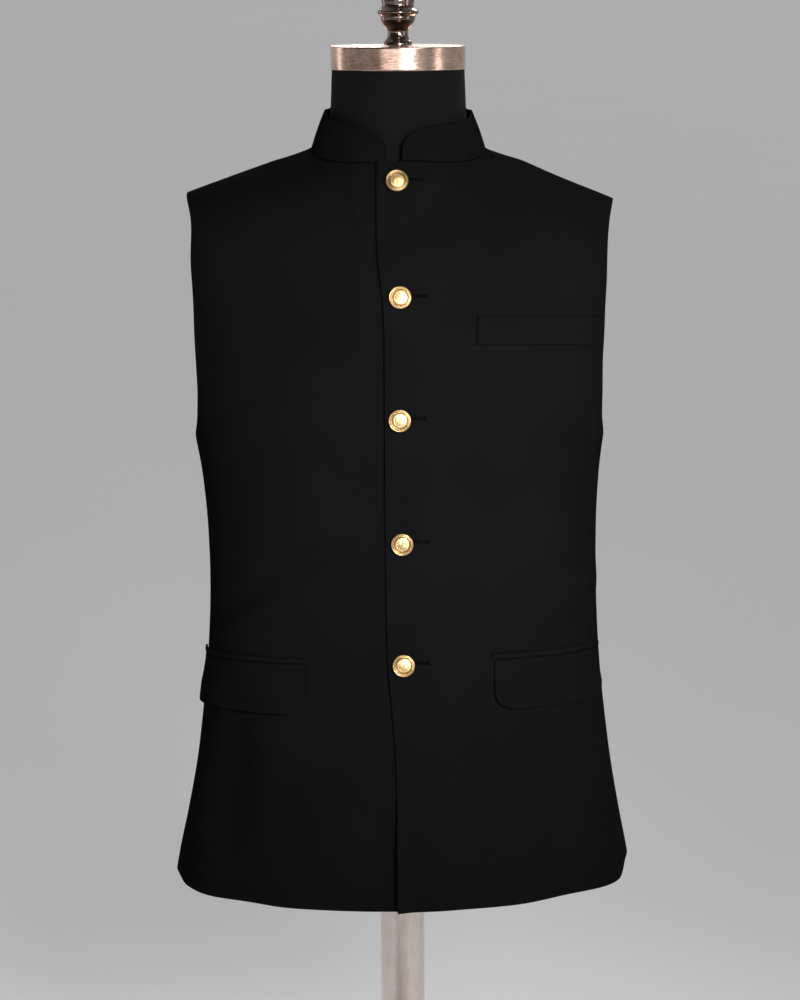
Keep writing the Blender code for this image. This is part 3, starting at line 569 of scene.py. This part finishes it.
def panel_places(side, back):
    """Places across and heights of a panel's points, in rows from the hem to the shoulder seam."""
    f = edge_spaced(PANEL_COLUMNS, PANEL_WIDTH)[None, :]
    hem_steps = HEM_Z + np.array([0.0, *EDGE_STEPS[:-1]]) * WALL
    skirt = np.linspace(HEM_Z + EDGE_STEPS[-1] * WALL, UNDERARM_Z, SKIRT_ROWS)
    chest_share = (np.arange(1, CHEST_ROWS + 1) / CHEST_ROWS) ** CHEST_SPACING
    chest = UNDERARM_Z + (FAN_Z - UNDERARM_Z) * chest_share
    level = np.concatenate([hem_steps, skirt, chest])[:, None]
    z = row_height(level, mix(inner_x(side, level, back), outer_edge(side, level, back), f))
    start = turn_of(inner_x(side, z, back), z)
    end = turn_of(outer_edge(side, z, back), z)
    x = place_of(mix(start, end, f), z)

    q = (np.arange(1, FAN_ROWS + 1) / FAN_ROWS)[:, None]
    top = np.array([[NECK_BACK_Z if back else NECK_FRONT_Z]])
    first = math.asin(inner_x(side, top, back).item() / (side * NECK_HALF)) / (math.pi / 2)
    step = np.clip((q - FAN_FRONT_SHARE) / (1 - FAN_FRONT_SHARE), 0.0, 1.0)
    share = mix(first, 1.0, (1 - np.cos(np.pi * step)) / 2)
    neck_x, neck_z = neckline(side, share, back)
    neck_z = np.where(share < 0, top, neck_z)
    rising = mix(FAN_Z, top, q / FAN_FRONT_SHARE)
    below = q < FAN_FRONT_SHARE
    start_x = np.where(below, inner_x(side, rising, back), neck_x)
    start_z = np.where(below, rising, neck_z)
    tip_z = shoulder_line(shoulder_tip(side), back)
    end_z = tip_z - (tip_z - FAN_Z) * (1 - q) ** 2
    end_x = np.where(q < 1, outer_edge(side, end_z, back), shoulder_tip(side))
    rise = q**2
    flat = mix(start_z, end_z, f)
    round_x = place_of(mix(turn_of(start_x, start_z), turn_of(end_x, end_z), f), flat)
    fan_x = mix(mix(start_x, end_x, f), round_x, 1 - rise)
    start_drop = shoulder_line(start_x, back) - start_z
    end_drop = shoulder_line(end_x, back) - end_z
    sloped = shoulder_line(fan_x, back) - mix(start_drop, end_drop, f)
    fan_z = mix(flat, sloped, rise)
    return np.concatenate([x, fan_x]), np.concatenate([z, fan_z])


def lengths_along(points, axis):
    """Distance along a grid's rows or columns from their first point."""
    steps = np.linalg.norm(np.diff(points, axis=axis), axis=-1)
    zero = np.zeros_like(np.take(steps, [0], axis=axis))
    return np.cumsum(np.concatenate([zero, steps], axis=axis), axis=axis)


def shell(name, outer, normal, thickness, finish, round_edges=(True, True, True, True)):
    """Closed cloth wall with rounded edges, under a grid of outer points.

    The edges are those at the first and last row and at the first and last column.
    """
    rows, columns = outer.shape[:2]
    up, along = lengths_along(outer, 0), lengths_along(outer, 1)
    from_edge = np.full((rows, columns), 1.0)
    places = (up, up[-1:] - up, along, along[:, -1:] - along)
    for rounded, place in zip(round_edges, places):
        if rounded:
            from_edge = np.minimum(from_edge, place)
    near = np.clip(1 - 2 * from_edge / thickness, 0.0, 1.0)
    swell = (np.sqrt(1 - near**2) * thickness / 2)[..., None]
    middle = outer - normal * thickness / 2
    front, back = middle + normal * swell, middle - normal * swell

    number = np.arange(rows * columns).reshape(rows, columns)
    inside = np.zeros((rows, columns), bool)
    inside[1:-1, 1:-1] = True
    other = number.copy()
    other[inside] = rows * columns + np.arange(inside.sum())
    points = np.concatenate([front.reshape(-1, 3), back[inside]])

    def quads(ids):
        corners = (ids[:-1, :-1], ids[:-1, 1:], ids[1:, 1:], ids[1:, :-1])
        return np.stack(corners, axis=-1).reshape(-1, 4)

    r, c = rows // 2, columns // 2
    facing = np.cross(outer[r, c + 1] - outer[r, c], outer[r + 1, c] - outer[r, c])
    front_quads, back_quads = quads(number), quads(other)[:, ::-1]
    if facing @ normal[r, c] < 0:
        front_quads, back_quads = front_quads[:, ::-1], back_quads[:, ::-1]
    mesh = bpy.data.meshes.new(name)
    mesh.from_pydata(points.tolist(), [], np.concatenate([front_quads, back_quads]).tolist())
    start = np.abs(outer[:, :1, 0])
    flat = np.stack([start + along, outer[:1, :, 2] + up], axis=-1).reshape(-1, 2)
    flat = np.concatenate([flat, flat.reshape(rows, columns, 2)[inside]])
    loop_points = np.empty(len(mesh.loops), int)
    mesh.loops.foreach_get("vertex_index", loop_points)
    mesh.uv_layers.new(name="cloth").data.foreach_set("uv", flat[loop_points].ravel())
    mesh.shade_smooth()
    return add_piece(name, mesh, finish)


def add_piece(name, mesh, finish):
    obj = bpy.data.objects.new(name, mesh)
    obj.data.materials.append(finish)
    bpy.context.scene.collection.objects.link(obj)
    return obj


def declare(obj, node):
    """The piece rides on the body and stands for a node, whose part is hidden."""
    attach(obj, "root")
    if node:
        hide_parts(node)


def declare_cloth(obj, node):
    declare(obj, node)


def make_panels(finish):
    for name, side, back in PANELS:
        x, z = panel_places(side, back)
        points, normal = cloth(x, z, back, side > 0 and not back)
        declare_cloth(shell(name + "_cloth", points, normal, WALL, finish), name)


def neck_points(side, start_x, back):
    """Points of the neckline from a place across to the shoulder seam, on the panel."""
    first = math.asin(start_x / (side * NECK_HALF)) / (math.pi / 2)
    share = np.linspace(first, 1.0, COLLAR_ALONG // 4)
    x, z = neckline(side, share, back)
    return cloth(x, z, back, side > 0 and not back)[0]


def make_collar(finish):
    front_left = neck_points(1, COLLAR_LEFT_END, False)
    front_right = neck_points(-1, COLLAR_RIGHT_END, False)
    back_left = neck_points(1, SEAM_HALF, True)[::-1]
    back_right = neck_points(-1, -SEAM_HALF, True)
    path = np.concatenate([front_left[:-1], back_left[:-1], back_right, front_right[-2::-1]])
    along = lengths_along(path, 0)
    share = edge_spaced(COLLAR_ALONG, along[-1])
    place = share * along[-1]
    base = np.stack([np.interp(place, along, path[:, i]) for i in range(3)], axis=-1)
    tangent = np.gradient(base, place, axis=0)
    inward = unit(np.stack([-tangent[:, 1], tangent[:, 0], 0 * tangent[:, 0]], axis=-1))
    from_end = np.minimum(place, along[-1] - place)
    height = read_off(COLLAR_HEIGHT, COLLAR_COLUMNS, "height", from_end)
    angle = np.abs(np.degrees(np.arctan2(base[:, 0], -base[:, 1])))
    lean = read_off(COLLAR_LEAN, LEAN_COLUMNS, "lean", angle)
    up = edge_spaced(COLLAR_UP, COLLAR_MEAN_HEIGHT)[:, None]
    belly = COLLAR_BELLY * np.sin(np.pi * up)
    aside = lean * height * up - belly
    points = base + inward * aside[..., None]
    points[..., 2] += height * up + 2 * GAP - COLLAR_SINK * np.sin(np.radians(angle)) ** 4
    rising = np.gradient(points, axis=0)
    going = np.gradient(points, axis=1)
    normal = unit(np.cross(going, rising))
    outside = -inward[None]
    normal *= np.where((normal * outside).sum(-1) < 0, -1, 1)[..., None]
    piece = shell("collar_cloth", points, normal, COLLAR_WALL, finish)
    declare_cloth(piece, "collar")


def patch(name, side, sizes, thickness, finish, columns, rows, corner=0.0, extra_top=0.0,
          extra_ends=0.0, stand=0.0, roll=0.0):
    """Cloth piece that lies on a front, from its lower edge up."""
    tops = (sizes["inner_top"], sizes["outer_top"])
    ends = (side * (sizes["inner"] - extra_ends), side * (sizes["outer"] + extra_ends))
    start, end = turn_of(ends[0], tops[0]), turn_of(ends[1], tops[1])
    length = abs(end - start) * TURN_LENGTH
    share = edge_spaced(columns, length)[None, :]
    up = edge_spaced(rows, sizes["depth"])[:, None]
    top = mix(*tops, share**TOP_BEND) + extra_top
    from_end = np.minimum(share, 1 - share) * length
    cut = corner - np.sqrt(np.maximum(corner**2 - np.maximum(corner - from_end, 0.0) ** 2, 0.0))
    z = mix(top - sizes["depth"] + cut, top, up)
    x = place_of(mix(start, end, share), z)
    lift = GAP + thickness + stand * (1 - up) ** STAND_BEND + roll * np.sin(np.pi * up)
    points, normal = cloth(x, z, False, side > 0, lift)
    return shell(name, points, normal, thickness, finish)


def make_pockets(finish):
    welt = patch("chest_welt_cloth", 1, WELT, FLAP_WALL, finish, 60, 16, roll=WELT_ROLL)
    declare_cloth(welt, "chest_welt")
    for name, side, sizes in (("left", 1, FLAP_LEFT), ("right", -1, FLAP_RIGHT)):
        flap = patch(f"flap_{name}_cloth", side, sizes, FLAP_WALL, finish, 80, 26,
                     corner=FLAP_CORNER, stand=FLAP_STAND)
        declare_cloth(flap, "flap_" + name)
        narrow = dict(sizes, depth=JET_DEPTH)
        jet = patch(f"jet_{name}_cloth", side, narrow, JET_WALL, finish, 80, 8,
                    extra_top=JET_DEPTH + GAP, extra_ends=JET_OVERHANG, roll=JET_ROLL)
        declare_cloth(jet, "jet_" + name)


def capsule(start, end, normal, radius, arch):
    """Points and quads of a short round stitch that arches over the cloth."""
    rings, sides = 5, 6
    along = unit(end - start)
    aside = np.cross(normal, along)
    points, quads = [], []
    for r in range(rings):
        t = r / (rings - 1)
        bow = math.sin(math.pi * t)
        centre = mix(start, end, t) + normal * arch * bow
        size = radius * mix(STITCH_TAPER, 1.0, bow**0.5)
        for s in range(sides):
            turn = 2 * math.pi * s / sides
            points.append(centre + aside * size * math.cos(turn) + normal * size * math.sin(turn))
    for r in range(rings - 1):
        for s in range(sides):
            a, b = r * sides + s, r * sides + (s + 1) % sides
            quads.append((a, b, b + sides, a + sides))
    quads.append(tuple(range(sides))[::-1])
    quads.append(tuple(range((rings - 1) * sides, rings * sides)))
    return points, quads


def hole_point(x, z, lift):
    points, normal = cloth(np.array([x]), np.array([z]), False, True, lift)
    return points[0], normal[0]


def make_buttonholes(thread):
    """Whipped buttonholes: stitches along both lips and round the outer end, then a short bar."""
    for number, (bx, bz) in enumerate(BUTTONS, start=1):
        z = bz + HOLE_RISE
        lift = STITCH_RADIUS * STITCH_SEAT
        ends = []
        count = int((HOLE_END - HOLE_START) / STITCH_PITCH)
        for i in range(count):
            x = bx + HOLE_START + (i + 0.5) * STITCH_PITCH
            for way in (-1, 1):
                inner = (x, z + way * SLIT_HALF)
                outer = (x, z + way * (SLIT_HALF + STITCH_LENGTH))
                ends.append((inner, outer))
        tip = bx + HOLE_END
        for turn in np.radians(np.linspace(-70, 70, 7)):
            reach = SLIT_HALF + STITCH_LENGTH
            inner = (tip + SLIT_HALF * math.cos(turn), z + SLIT_HALF * math.sin(turn))
            outer = (tip + reach * math.cos(turn), z + reach * math.sin(turn))
            ends.append((inner, outer))
        bar_x = tip + SLIT_HALF + STITCH_LENGTH + STITCH_RADIUS
        for i in range(BAR_STITCHES):
            x = bar_x + i * BAR_PITCH
            ends.append(((x, z - BAR_HALF), (x, z + BAR_HALF)))
        points, faces = [], []
        for inner, outer in ends:
            start, normal = hole_point(*inner, lift)
            end, _ = hole_point(*outer, lift)
            more, quads = capsule(start, end, normal, STITCH_RADIUS, STITCH_RADIUS * STITCH_ARCH)
            faces += [tuple(len(points) + i for i in quad) for quad in quads]
            points += more
        mesh = bpy.data.meshes.new(f"buttonhole_{number}")
        mesh.from_pydata([tuple(point) for point in points], [], faces)
        mesh.shade_smooth()
        declare(add_piece(f"buttonhole_{number}", mesh, thread), None)


def button_height(r, turn):
    """Height of a button's face: dome with a rosette, a beaded ring and a rolled rim."""
    height = 0.0062 - 0.0013 * (r / BUTTON_RADIUS) ** 2
    petal_end = 0.0022 + 0.0026 * np.abs(np.cos(4 * turn)) ** 0.6
    inside = ease((petal_end - r) / 0.0005) * ease((r - 0.0011) / 0.0003)
    height = height + inside * (0.00026 - 0.00010 * np.cos(8 * turn) ** 6)
    leaves = ease((0.0060 - r) / 0.0004) * ease((r - 0.0047) / 0.0004)
    height = height + 0.00022 * leaves * (0.5 - 0.5 * np.cos(16 * turn)) ** 2
    height = height + 0.00030 * np.sqrt(np.maximum(1 - (r / 0.0009) ** 2, 0.0))
    bead_row = np.exp(-(((r - 0.0078) / 0.00042) ** 2))
    height = height + 0.00032 * bead_row * np.sqrt(np.abs(np.cos(22 * turn)))
    for radius, spread, rise in BUTTON_RINGS:
        height = height + rise * np.exp(-(((r - radius) / spread) ** 2))
    return height


def make_buttons(gold):
    turn = np.linspace(0, 2 * np.pi, BUTTON_TURNS, endpoint=False)[None, :]
    radii = np.linspace(0.0003, 0.0097, BUTTON_CIRCLES)[:, None]
    side_r, side_z = np.array(BUTTON_SIDE).T[:, :, None]
    rings_r = np.concatenate([radii, side_r]) + 0 * turn
    rings_z = np.concatenate([button_height(radii, turn), side_z + 0 * turn])
    points = np.stack([rings_r * np.cos(turn), rings_r * np.sin(turn), rings_z], axis=-1)
    mesh = ring_mesh("gold_button", points[::-1])
    for number, (x, z) in enumerate(BUTTONS, start=1):
        place, normal = hole_point(x, z, GAP)
        obj = add_piece(f"gold_button_{number}", mesh.copy(), gold)
        turned = Vector(normal).to_track_quat("Z", "Y").to_matrix().to_4x4()
        spin = Matrix.Rotation(math.radians(7 * number), 4, "Z")
        obj.matrix_world = Matrix.Translation(Vector(place)) @ turned @ spin
        declare(obj, f"button_{number}")


def ring_mesh(name, points, smooth_angle=None):
    """Closed mesh from rings of points, capped at both ends, from the bottom up."""
    rings, turns = points.shape[:2]
    number = np.arange(rings * turns).reshape(rings, turns)
    after = np.roll(number, -1, axis=1)
    corners = (number[:-1], after[:-1], after[1:], number[1:])
    quads = np.stack(corners, axis=-1).reshape(-1, 4).tolist()
    faces = quads + [number[0][::-1].tolist(), number[-1].tolist()]
    mesh = bpy.data.meshes.new(name)
    mesh.from_pydata(points.reshape(-1, 3).tolist(), [], faces)
    mesh.shade_smooth()
    if smooth_angle:
        mesh.set_sharp_from_angle(angle=math.radians(smooth_angle))
    return mesh


def form_section(name, height):
    return read_off(FORM_SECTIONS, FORM_COLUMNS, name, height)


def form_top(x):
    """The form's top line, close under the shoulder seam and lower towards the neck."""
    near_neck = 1 - ease((np.abs(x) - NECK_HALF) / (FORM_NECK_REACH - NECK_HALF))
    return shoulder_line(x, False) - FORM_SHOULDER_DROP - FORM_NECK_DROP * near_neck


def form_half_width(z, side):
    """Half width of the form, narrowed by the slope of the shoulder."""
    low, high = NECK_HALF, form_section("half_width", z)
    if form_top(side * high) >= z:
        return high
    for _ in range(FORM_HALVINGS):
        middle = (low + high) / 2
        if form_top(side * middle) >= z:
            low = middle
        else:
            high = middle
    return low


def make_form(jersey):
    turn = np.linspace(0, 2 * np.pi, FORM_TURNS, endpoint=False)
    sine, cosine = np.sin(turn), np.cos(turn)
    rings = []
    for z in np.linspace(FORM_BOTTOM_Z, FORM_TOP_Z, FORM_RINGS):
        power = 2 / form_section("squareness", z)
        half = form_section("half_width", z)
        reach = np.where(sine >= 0, form_half_width(z, 1), form_half_width(z, -1))
        x = reach * np.sign(sine) * np.abs(sine) ** power
        depth = np.where(cosine < 0, form_section("back", z), form_section("front", z))
        depth = depth * oval(x / half, form_section("squareness", z)) * crown(x, z, form_top(x))
        depth = np.where((reach < half) & (np.abs(cosine) < 1e-6), 0.0, depth)
        rounding = FORM_ROUNDING * np.exp(-(z - FORM_BOTTOM_Z) / FORM_ROUNDING_REACH)
        shrink = 1 - rounding / half
        y = -np.sign(cosine) * depth
        rings.append(np.stack([x * shrink, y * shrink, z + 0 * x], axis=-1))
    for z in np.linspace(FORM_NECK[0][0], FORM_NECK[-1][0], NECK_RINGS):
        radius = read_off(FORM_NECK, NECK_COLUMNS, "radius", z)
        rings.append(np.stack([radius * sine, -radius * cosine, z + 0 * sine], axis=-1))
    mesh = ring_mesh("form_cover", np.array(rings), 50)
    declare(add_piece("form_cover", mesh, jersey), "dress_form")


def softened(profile, passes):
    """A profile with its corners cut finer, its first and last points kept."""
    points = np.array(profile)
    for _ in range(passes):
        near = mix(points[:-1], points[1:], 0.25)
        far = mix(points[:-1], points[1:], 0.75)
        cut = np.stack([near, far], axis=1).reshape(-1, 2)
        points = np.concatenate([points[:1], cut[1:-1], points[-1:]])
    return points


def lathe(name, profile, place, finish, node, passes=2):
    """Turned piece from a profile of heights and radii, top to bottom."""
    points = softened(profile, passes)[::-1]
    points = points[points[:, 1] > 0]
    turn = np.linspace(0, 2 * np.pi, TURNS, endpoint=False)
    height, radius = points[:, :1] + place[2], points[:, 1:]
    x, y = place[0] + radius * np.cos(turn), place[1] + radius * np.sin(turn)
    rings = np.stack([x, y, height + 0 * turn], axis=-1)
    declare(add_piece(name, ring_mesh(name, rings, 40), finish), node)


def make_stand(copper, bronze, chrome):
    cap_bottom = FORM_NECK[-1][0] + GAP
    edge = CAP_EDGE
    cap = (
        (CAP_HEIGHT, 0.0), (CAP_HEIGHT, FINIAL_SEAT), (CAP_HEIGHT, CAP_RADIUS - 3 * edge),
        (CAP_HEIGHT, CAP_RADIUS - edge), (CAP_HEIGHT - 0.2 * edge, CAP_RADIUS - 0.2 * edge),
        (CAP_HEIGHT - edge, CAP_RADIUS), (CAP_HEIGHT - 2 * edge, CAP_RADIUS),
        (2 * edge, CAP_RADIUS), (edge, CAP_RADIUS), (0.2 * edge, CAP_RADIUS - 0.2 * edge),
        (0.0, CAP_RADIUS - edge), (0.0, 0.0),
    )
    lathe("cap_ring", cap, (0, 0, cap_bottom), copper, "neck_cap")
    finial_z = cap_bottom + CAP_HEIGHT + GAP
    finial = np.array(FINIAL_PROFILE) / 1000
    lathe("finial_turning", finial, (0, 0, finial_z), bronze, "finial")
    pole_top, pole_bottom = FORM_BOTTOM_Z - GAP, BASE_HEIGHT + GAP
    pole = (
        (pole_top, 0.0), (pole_top, POLE_RADIUS - 0.001), (pole_top - 0.0004, POLE_RADIUS - 0.0002),
        (pole_top - 0.001, POLE_RADIUS), (pole_bottom + 0.001, POLE_RADIUS),
        (pole_bottom, POLE_RADIUS), (pole_bottom, 0.0),
    )
    lathe("pole_tube", pole, (POLE_X, 0, 0), chrome, "pole", 1)
    lathe("base_disc", BASE_PROFILE, (0, 0, 0), chrome, "base")


def new_material(name, colour, roughness, metallic=0.0, specular=0.5):
    made = bpy.data.materials.new(name)
    made.use_nodes = True
    shader = made.node_tree.nodes["Principled BSDF"]
    shader.inputs["Base Color"].default_value = (*colour, 1.0)
    shader.inputs["Roughness"].default_value = roughness
    shader.inputs["Metallic"].default_value = metallic
    shader.inputs["Specular IOR Level"].default_value = specular
    return made, made.node_tree, shader


def add_node(tree, kind, inputs=None, **settings):
    """A node with its settings, and its inputs set to values or linked to other nodes' outputs."""
    node = tree.nodes.new(kind)
    for key, value in settings.items():
        setattr(node, key, value)
    for key, value in (inputs or {}).items():
        if isinstance(value, bpy.types.NodeSocket):
            tree.links.new(value, node.inputs[key])
        else:
            node.inputs[key].default_value = value
    return node


def maths(tree, operation, a, b=0.0):
    return add_node(tree, "ShaderNodeMath", {0: a, 1: b}, operation=operation).outputs[0]


def parts(tree, vector):
    """A vector's three parts."""
    return tuple(add_node(tree, "ShaderNodeSeparateXYZ", {0: vector}).outputs)


def object_point(tree):
    return add_node(tree, "ShaderNodeTexCoord").outputs["Object"]


def times(tree, a, b):
    return maths(tree, "MULTIPLY", a, b)


def plus(tree, a, b):
    return maths(tree, "ADD", a, b)


def wave(tree, value, rate):
    """Size of the sine of a value times a rate."""
    return maths(tree, "ABSOLUTE", maths(tree, "SINE", times(tree, value, rate)))


def axis_distance(tree, point):
    """Distance from the object's own Z axis."""
    factors = {0: point, 1: (1.0, 1.0, 0.0)}
    level = add_node(tree, "ShaderNodeVectorMath", factors, operation="MULTIPLY").outputs["Vector"]
    return add_node(tree, "ShaderNodeVectorMath", {0: level}, operation="LENGTH").outputs["Value"]


def noise(tree, vector, scale, detail=3.0, roughness=0.5):
    values = {"Vector": vector, "Scale": scale, "Detail": detail, "Roughness": roughness}
    return add_node(tree, "ShaderNodeTexNoise", values).outputs["Fac"]


def ramp(tree, fac, low, high, start=0.3, end=0.7):
    """Colour between two ends by a factor."""
    node = add_node(tree, "ShaderNodeValToRGB", {"Fac": fac})
    stops = node.color_ramp.elements
    stops[0].position, stops[1].position = start, end
    stops[0].color, stops[1].color = (*low, 1.0), (*high, 1.0)
    return node.outputs["Color"]


def between(tree, fac, low, high):
    """Number between two ends by a factor."""
    return plus(tree, times(tree, fac, high - low), low)


def finish_with(tree, shader, colour, roughness, heights):
    """Links the colour and roughness, and bump from pairs of a height and how far it stands out."""
    tree.links.new(colour, shader.inputs["Base Color"])
    if roughness:
        tree.links.new(roughness, shader.inputs["Roughness"])
    normal = None
    for height, distance in heights:
        inputs = {"Height": height, "Distance": distance, "Strength": 1.0}
        if normal:
            inputs["Normal"] = normal
        normal = add_node(tree, "ShaderNodeBump", inputs).outputs["Normal"]
    tree.links.new(normal, shader.inputs["Normal"])


def yarns(tree, vector, pitch):
    """Height of a plain weave whose yarns pass over and under each other."""
    across, up, _ = parts(tree, vector)
    warp = maths(tree, "SINE", times(tree, across, math.pi / pitch))
    weft = maths(tree, "SINE", times(tree, up, math.pi / pitch))
    warp_on_top = maths(tree, "GREATER_THAN", times(tree, warp, weft), 0.0)
    weft_on_top = maths(tree, "SUBTRACT", 1.0, warp_on_top)
    warp_height = times(tree, maths(tree, "ABSOLUTE", warp), warp_on_top)
    weft_height = times(tree, maths(tree, "ABSOLUTE", weft), weft_on_top)
    return plus(tree, warp_height, weft_height)


def suiting_finish():
    """Fine black suiting: plain weave with slubs, soft nap and slightly uneven dye."""
    made, tree, shader = new_material("black_suiting", (0.0073, 0.0072, 0.0079), 0.9, specular=0.0)
    place = add_node(tree, "ShaderNodeUVMap", uv_map="cloth").outputs["UV"]
    point = object_point(tree)
    weave = yarns(tree, place, YARN_PITCH)
    stretch = {"Vector": place, "Scale": (2400.0, 260.0, 1.0)}
    stretched = add_node(tree, "ShaderNodeMapping", stretch)
    slub = noise(tree, stretched.outputs["Vector"], 1.0, 2.0)
    nap = noise(tree, point, 900.0, 4.0, 0.6)
    patchy = noise(tree, point, 14.0, 4.0)
    tone = plus(tree, times(tree, patchy, 0.5), times(tree, slub, 0.5))
    colour = ramp(tree, tone, (0.0060, 0.0059, 0.0065), (0.0086, 0.0085, 0.0093))
    heights = ((weave, 0.00006), (slub, 0.00004), (nap, 0.00005))
    finish_with(tree, shader, colour, between(tree, nap, 0.76, 0.92), heights)
    return made


def thread_finish():
    """Black silk twist of the buttonholes."""
    made, tree, shader = new_material("black_twist", (0.0025, 0.0025, 0.0028), 0.7, specular=0.03)
    point = object_point(tree)
    twist = {"Vector": point, "Scale": 900.0, "Distortion": 2.0}
    ply = add_node(tree, "ShaderNodeTexWave", twist, bands_direction="DIAGONAL").outputs["Fac"]
    colour = ramp(tree, ply, (0.0014, 0.0014, 0.0016), (0.0034, 0.0034, 0.0038))
    finish_with(tree, shader, colour, None, ((ply, 0.00005),))
    return made


def jersey_finish():
    """Black jersey with fine upright wales."""
    made, tree, shader = new_material("black_jersey", (0.011, 0.011, 0.012), 0.9, specular=0.08)
    point = object_point(tree)
    x, y, z = parts(tree, point)
    wales = wave(tree, maths(tree, "ARCTAN2", x, y), 240.0)
    courses = wave(tree, z, 3600.0)
    loops = times(tree, wales, between(tree, courses, 0.5, 1.0))
    fuzz = noise(tree, point, 700.0, 4.0, 0.6)
    patchy = noise(tree, point, 22.0)
    colour = ramp(tree, patchy, (0.0065, 0.0065, 0.0072), (0.0095, 0.0095, 0.0104))
    heights = ((loops, 0.00010), (fuzz, 0.00006))
    finish_with(tree, shader, colour, between(tree, fuzz, 0.82, 0.97), heights)
    return made


def gold_finish():
    """Antique gold: bright on the relief and brown in its hollows, with painted shade round its inner
    ring.
    """
    made, tree, shader = new_material("antique_gold", (0.72, 0.50, 0.24), 0.3, 1.0)
    point = object_point(tree)
    hollow = add_node(tree, "ShaderNodeAmbientOcclusion", {"Distance": 0.0012}, samples=8)
    tarnish = noise(tree, point, 420.0, 5.0, 0.6)
    # Painted shade: the colour is darkened to 0.45 at the ring's radius and fades back to full over
    # 1.8 mm on either side.
    from_ring = maths(tree, "SUBTRACT", axis_distance(tree, point), SHADE_RING_RADIUS)
    fade = {"Value": maths(tree, "ABSOLUTE", from_ring), "From Max": 0.0018, "To Min": 0.45}
    painted_ring_shade = add_node(tree, "ShaderNodeMapRange", fade).outputs["Result"]
    depth = times(tree, hollow.outputs["AO"], plus(tree, tarnish, 0.55))
    depth = times(tree, depth, painted_ring_shade)
    colour = ramp(tree, depth, (0.26, 0.125, 0.035), (0.98, 0.68, 0.33), 0.30, 0.85)
    grain = noise(tree, point, 2600.0, 3.0)
    finish_with(tree, shader, colour, between(tree, tarnish, 0.24, 0.46), ((grain, 0.00004),))
    return made


def brushed_finish(name, low, high, rough_low, rough_high, stretch, depth):
    """Metal brushed round its axis, with mottled tone. Its stretch is round and along the axis."""
    made, tree, shader = new_material(name, high, rough_high, 1.0)
    point = object_point(tree)
    x, y, z = parts(tree, point)
    axes = {
        "X": times(tree, maths(tree, "ARCTAN2", x, y), stretch[0]),
        "Y": times(tree, z, stretch[1]),
        "Z": times(tree, axis_distance(tree, point), stretch[1]),
    }
    along = add_node(tree, "ShaderNodeCombineXYZ", axes).outputs[0]
    streaks = noise(tree, along, 1.0, 4.0, 0.6)
    mottle = noise(tree, point, 60.0, 5.0, 0.6)
    tone = plus(tree, times(tree, streaks, 0.5), times(tree, mottle, 0.5))
    colour = ramp(tree, tone, low, high, 0.35, 0.62)
    finish_with(tree, shader, colour, between(tree, tone, rough_low, rough_high), ((streaks, depth),))
    return made


def floor_finish():
    """Pale matt studio floor, very slightly uneven."""
    made, tree, shader = new_material("studio_floor", (0.72, 0.72, 0.72), 0.95, specular=0.05)
    point = object_point(tree)
    colour = ramp(tree, noise(tree, point, 0.8), (0.715, 0.715, 0.715), (0.725, 0.725, 0.725))
    tree.links.new(colour, shader.inputs["Base Color"])
    return made


def make_floor():
    mesh = bpy.data.meshes.new("floor")
    half = FLOOR_HALF
    corners = [(-half, -half, 0.0), (half, -half, 0.0), (half, half, 0.0), (-half, half, 0.0)]
    mesh.from_pydata(corners, [], [(0, 1, 2, 3)])
    add_piece("floor", mesh, floor_finish())


def area_light(name, azimuth, height, distance, size, radiance, spread):
    """Soft box that faces the jacket. Azimuth 0 is the camera's and 90 is the viewer's right."""
    data = bpy.data.lights.new(name, "AREA")
    data.shape = "RECTANGLE"
    data.size, data.size_y = size
    data.energy = radiance * size[0] * size[1] * math.pi
    data.spread = math.radians(spread)
    turn = math.radians(azimuth)
    place = Vector((distance * math.sin(turn), -distance * math.cos(turn), height))
    obj = bpy.data.objects.new(name, data)
    obj.location = place
    obj.rotation_euler = (Vector((0, 0, LIGHT_AIM_Z)) - place).to_track_quat("-Z", "Y").to_euler()
    obj.visible_camera = False
    bpy.context.scene.collection.objects.link(obj)


def make_world():
    """Grey surroundings, darker on the camera's side as in a studio lit from the set."""
    world = bpy.data.worlds.new("studio")
    bpy.context.scene.world = world
    world.use_nodes = True
    tree = world.node_tree
    direction = add_node(tree, "ShaderNodeTexCoord").outputs["Generated"]
    share = between(tree, parts(tree, direction)[1], 0.5, 1.0)
    colour = ramp(tree, share, WORLD_FRONT, WORLD_BACK, 0.35, 0.95)
    tree.links.new(colour, tree.nodes["Background"].inputs["Color"])


def make_lights():
    make_world()
    for light in SOFT_BOXES:
        area_light(*light)
    data = bpy.data.lights.new("back_sun", "SUN")
    data.energy = SUN_POWER
    data.angle = math.radians(SUN_SPREAD)
    obj = bpy.data.objects.new("back_sun", data)
    obj.rotation_euler = (-Vector(SUN_FROM)).to_track_quat("-Z", "Y").to_euler()
    bpy.context.scene.collection.objects.link(obj)


def make_camera():
    data = bpy.data.cameras.new("camera")
    data.lens = CAMERA_LENS
    data.sensor_width = CAMERA_SENSOR
    obj = bpy.data.objects.new("camera", data)
    pitch = Matrix.Rotation(math.radians(90 - CAMERA_PITCH), 4, "X")
    roll = Matrix.Rotation(math.radians(-CAMERA_ROLL), 4, "Z")
    obj.matrix_world = Matrix.Translation(CAMERA_PLACE) @ pitch @ roll
    bpy.context.scene.collection.objects.link(obj)
    bpy.context.scene.camera = obj


def main():
    bpy.context.scene.view_settings.view_transform = "Standard"
    make_camera()
    make_lights()
    make_floor()
    suiting = suiting_finish()
    make_form(jersey_finish())
    make_panels(suiting)
    make_collar(suiting)
    make_pockets(suiting)
    make_buttonholes(thread_finish())
    make_buttons(gold_finish())
    make_stand(*(brushed_finish(*metal) for metal in METALS))


main()
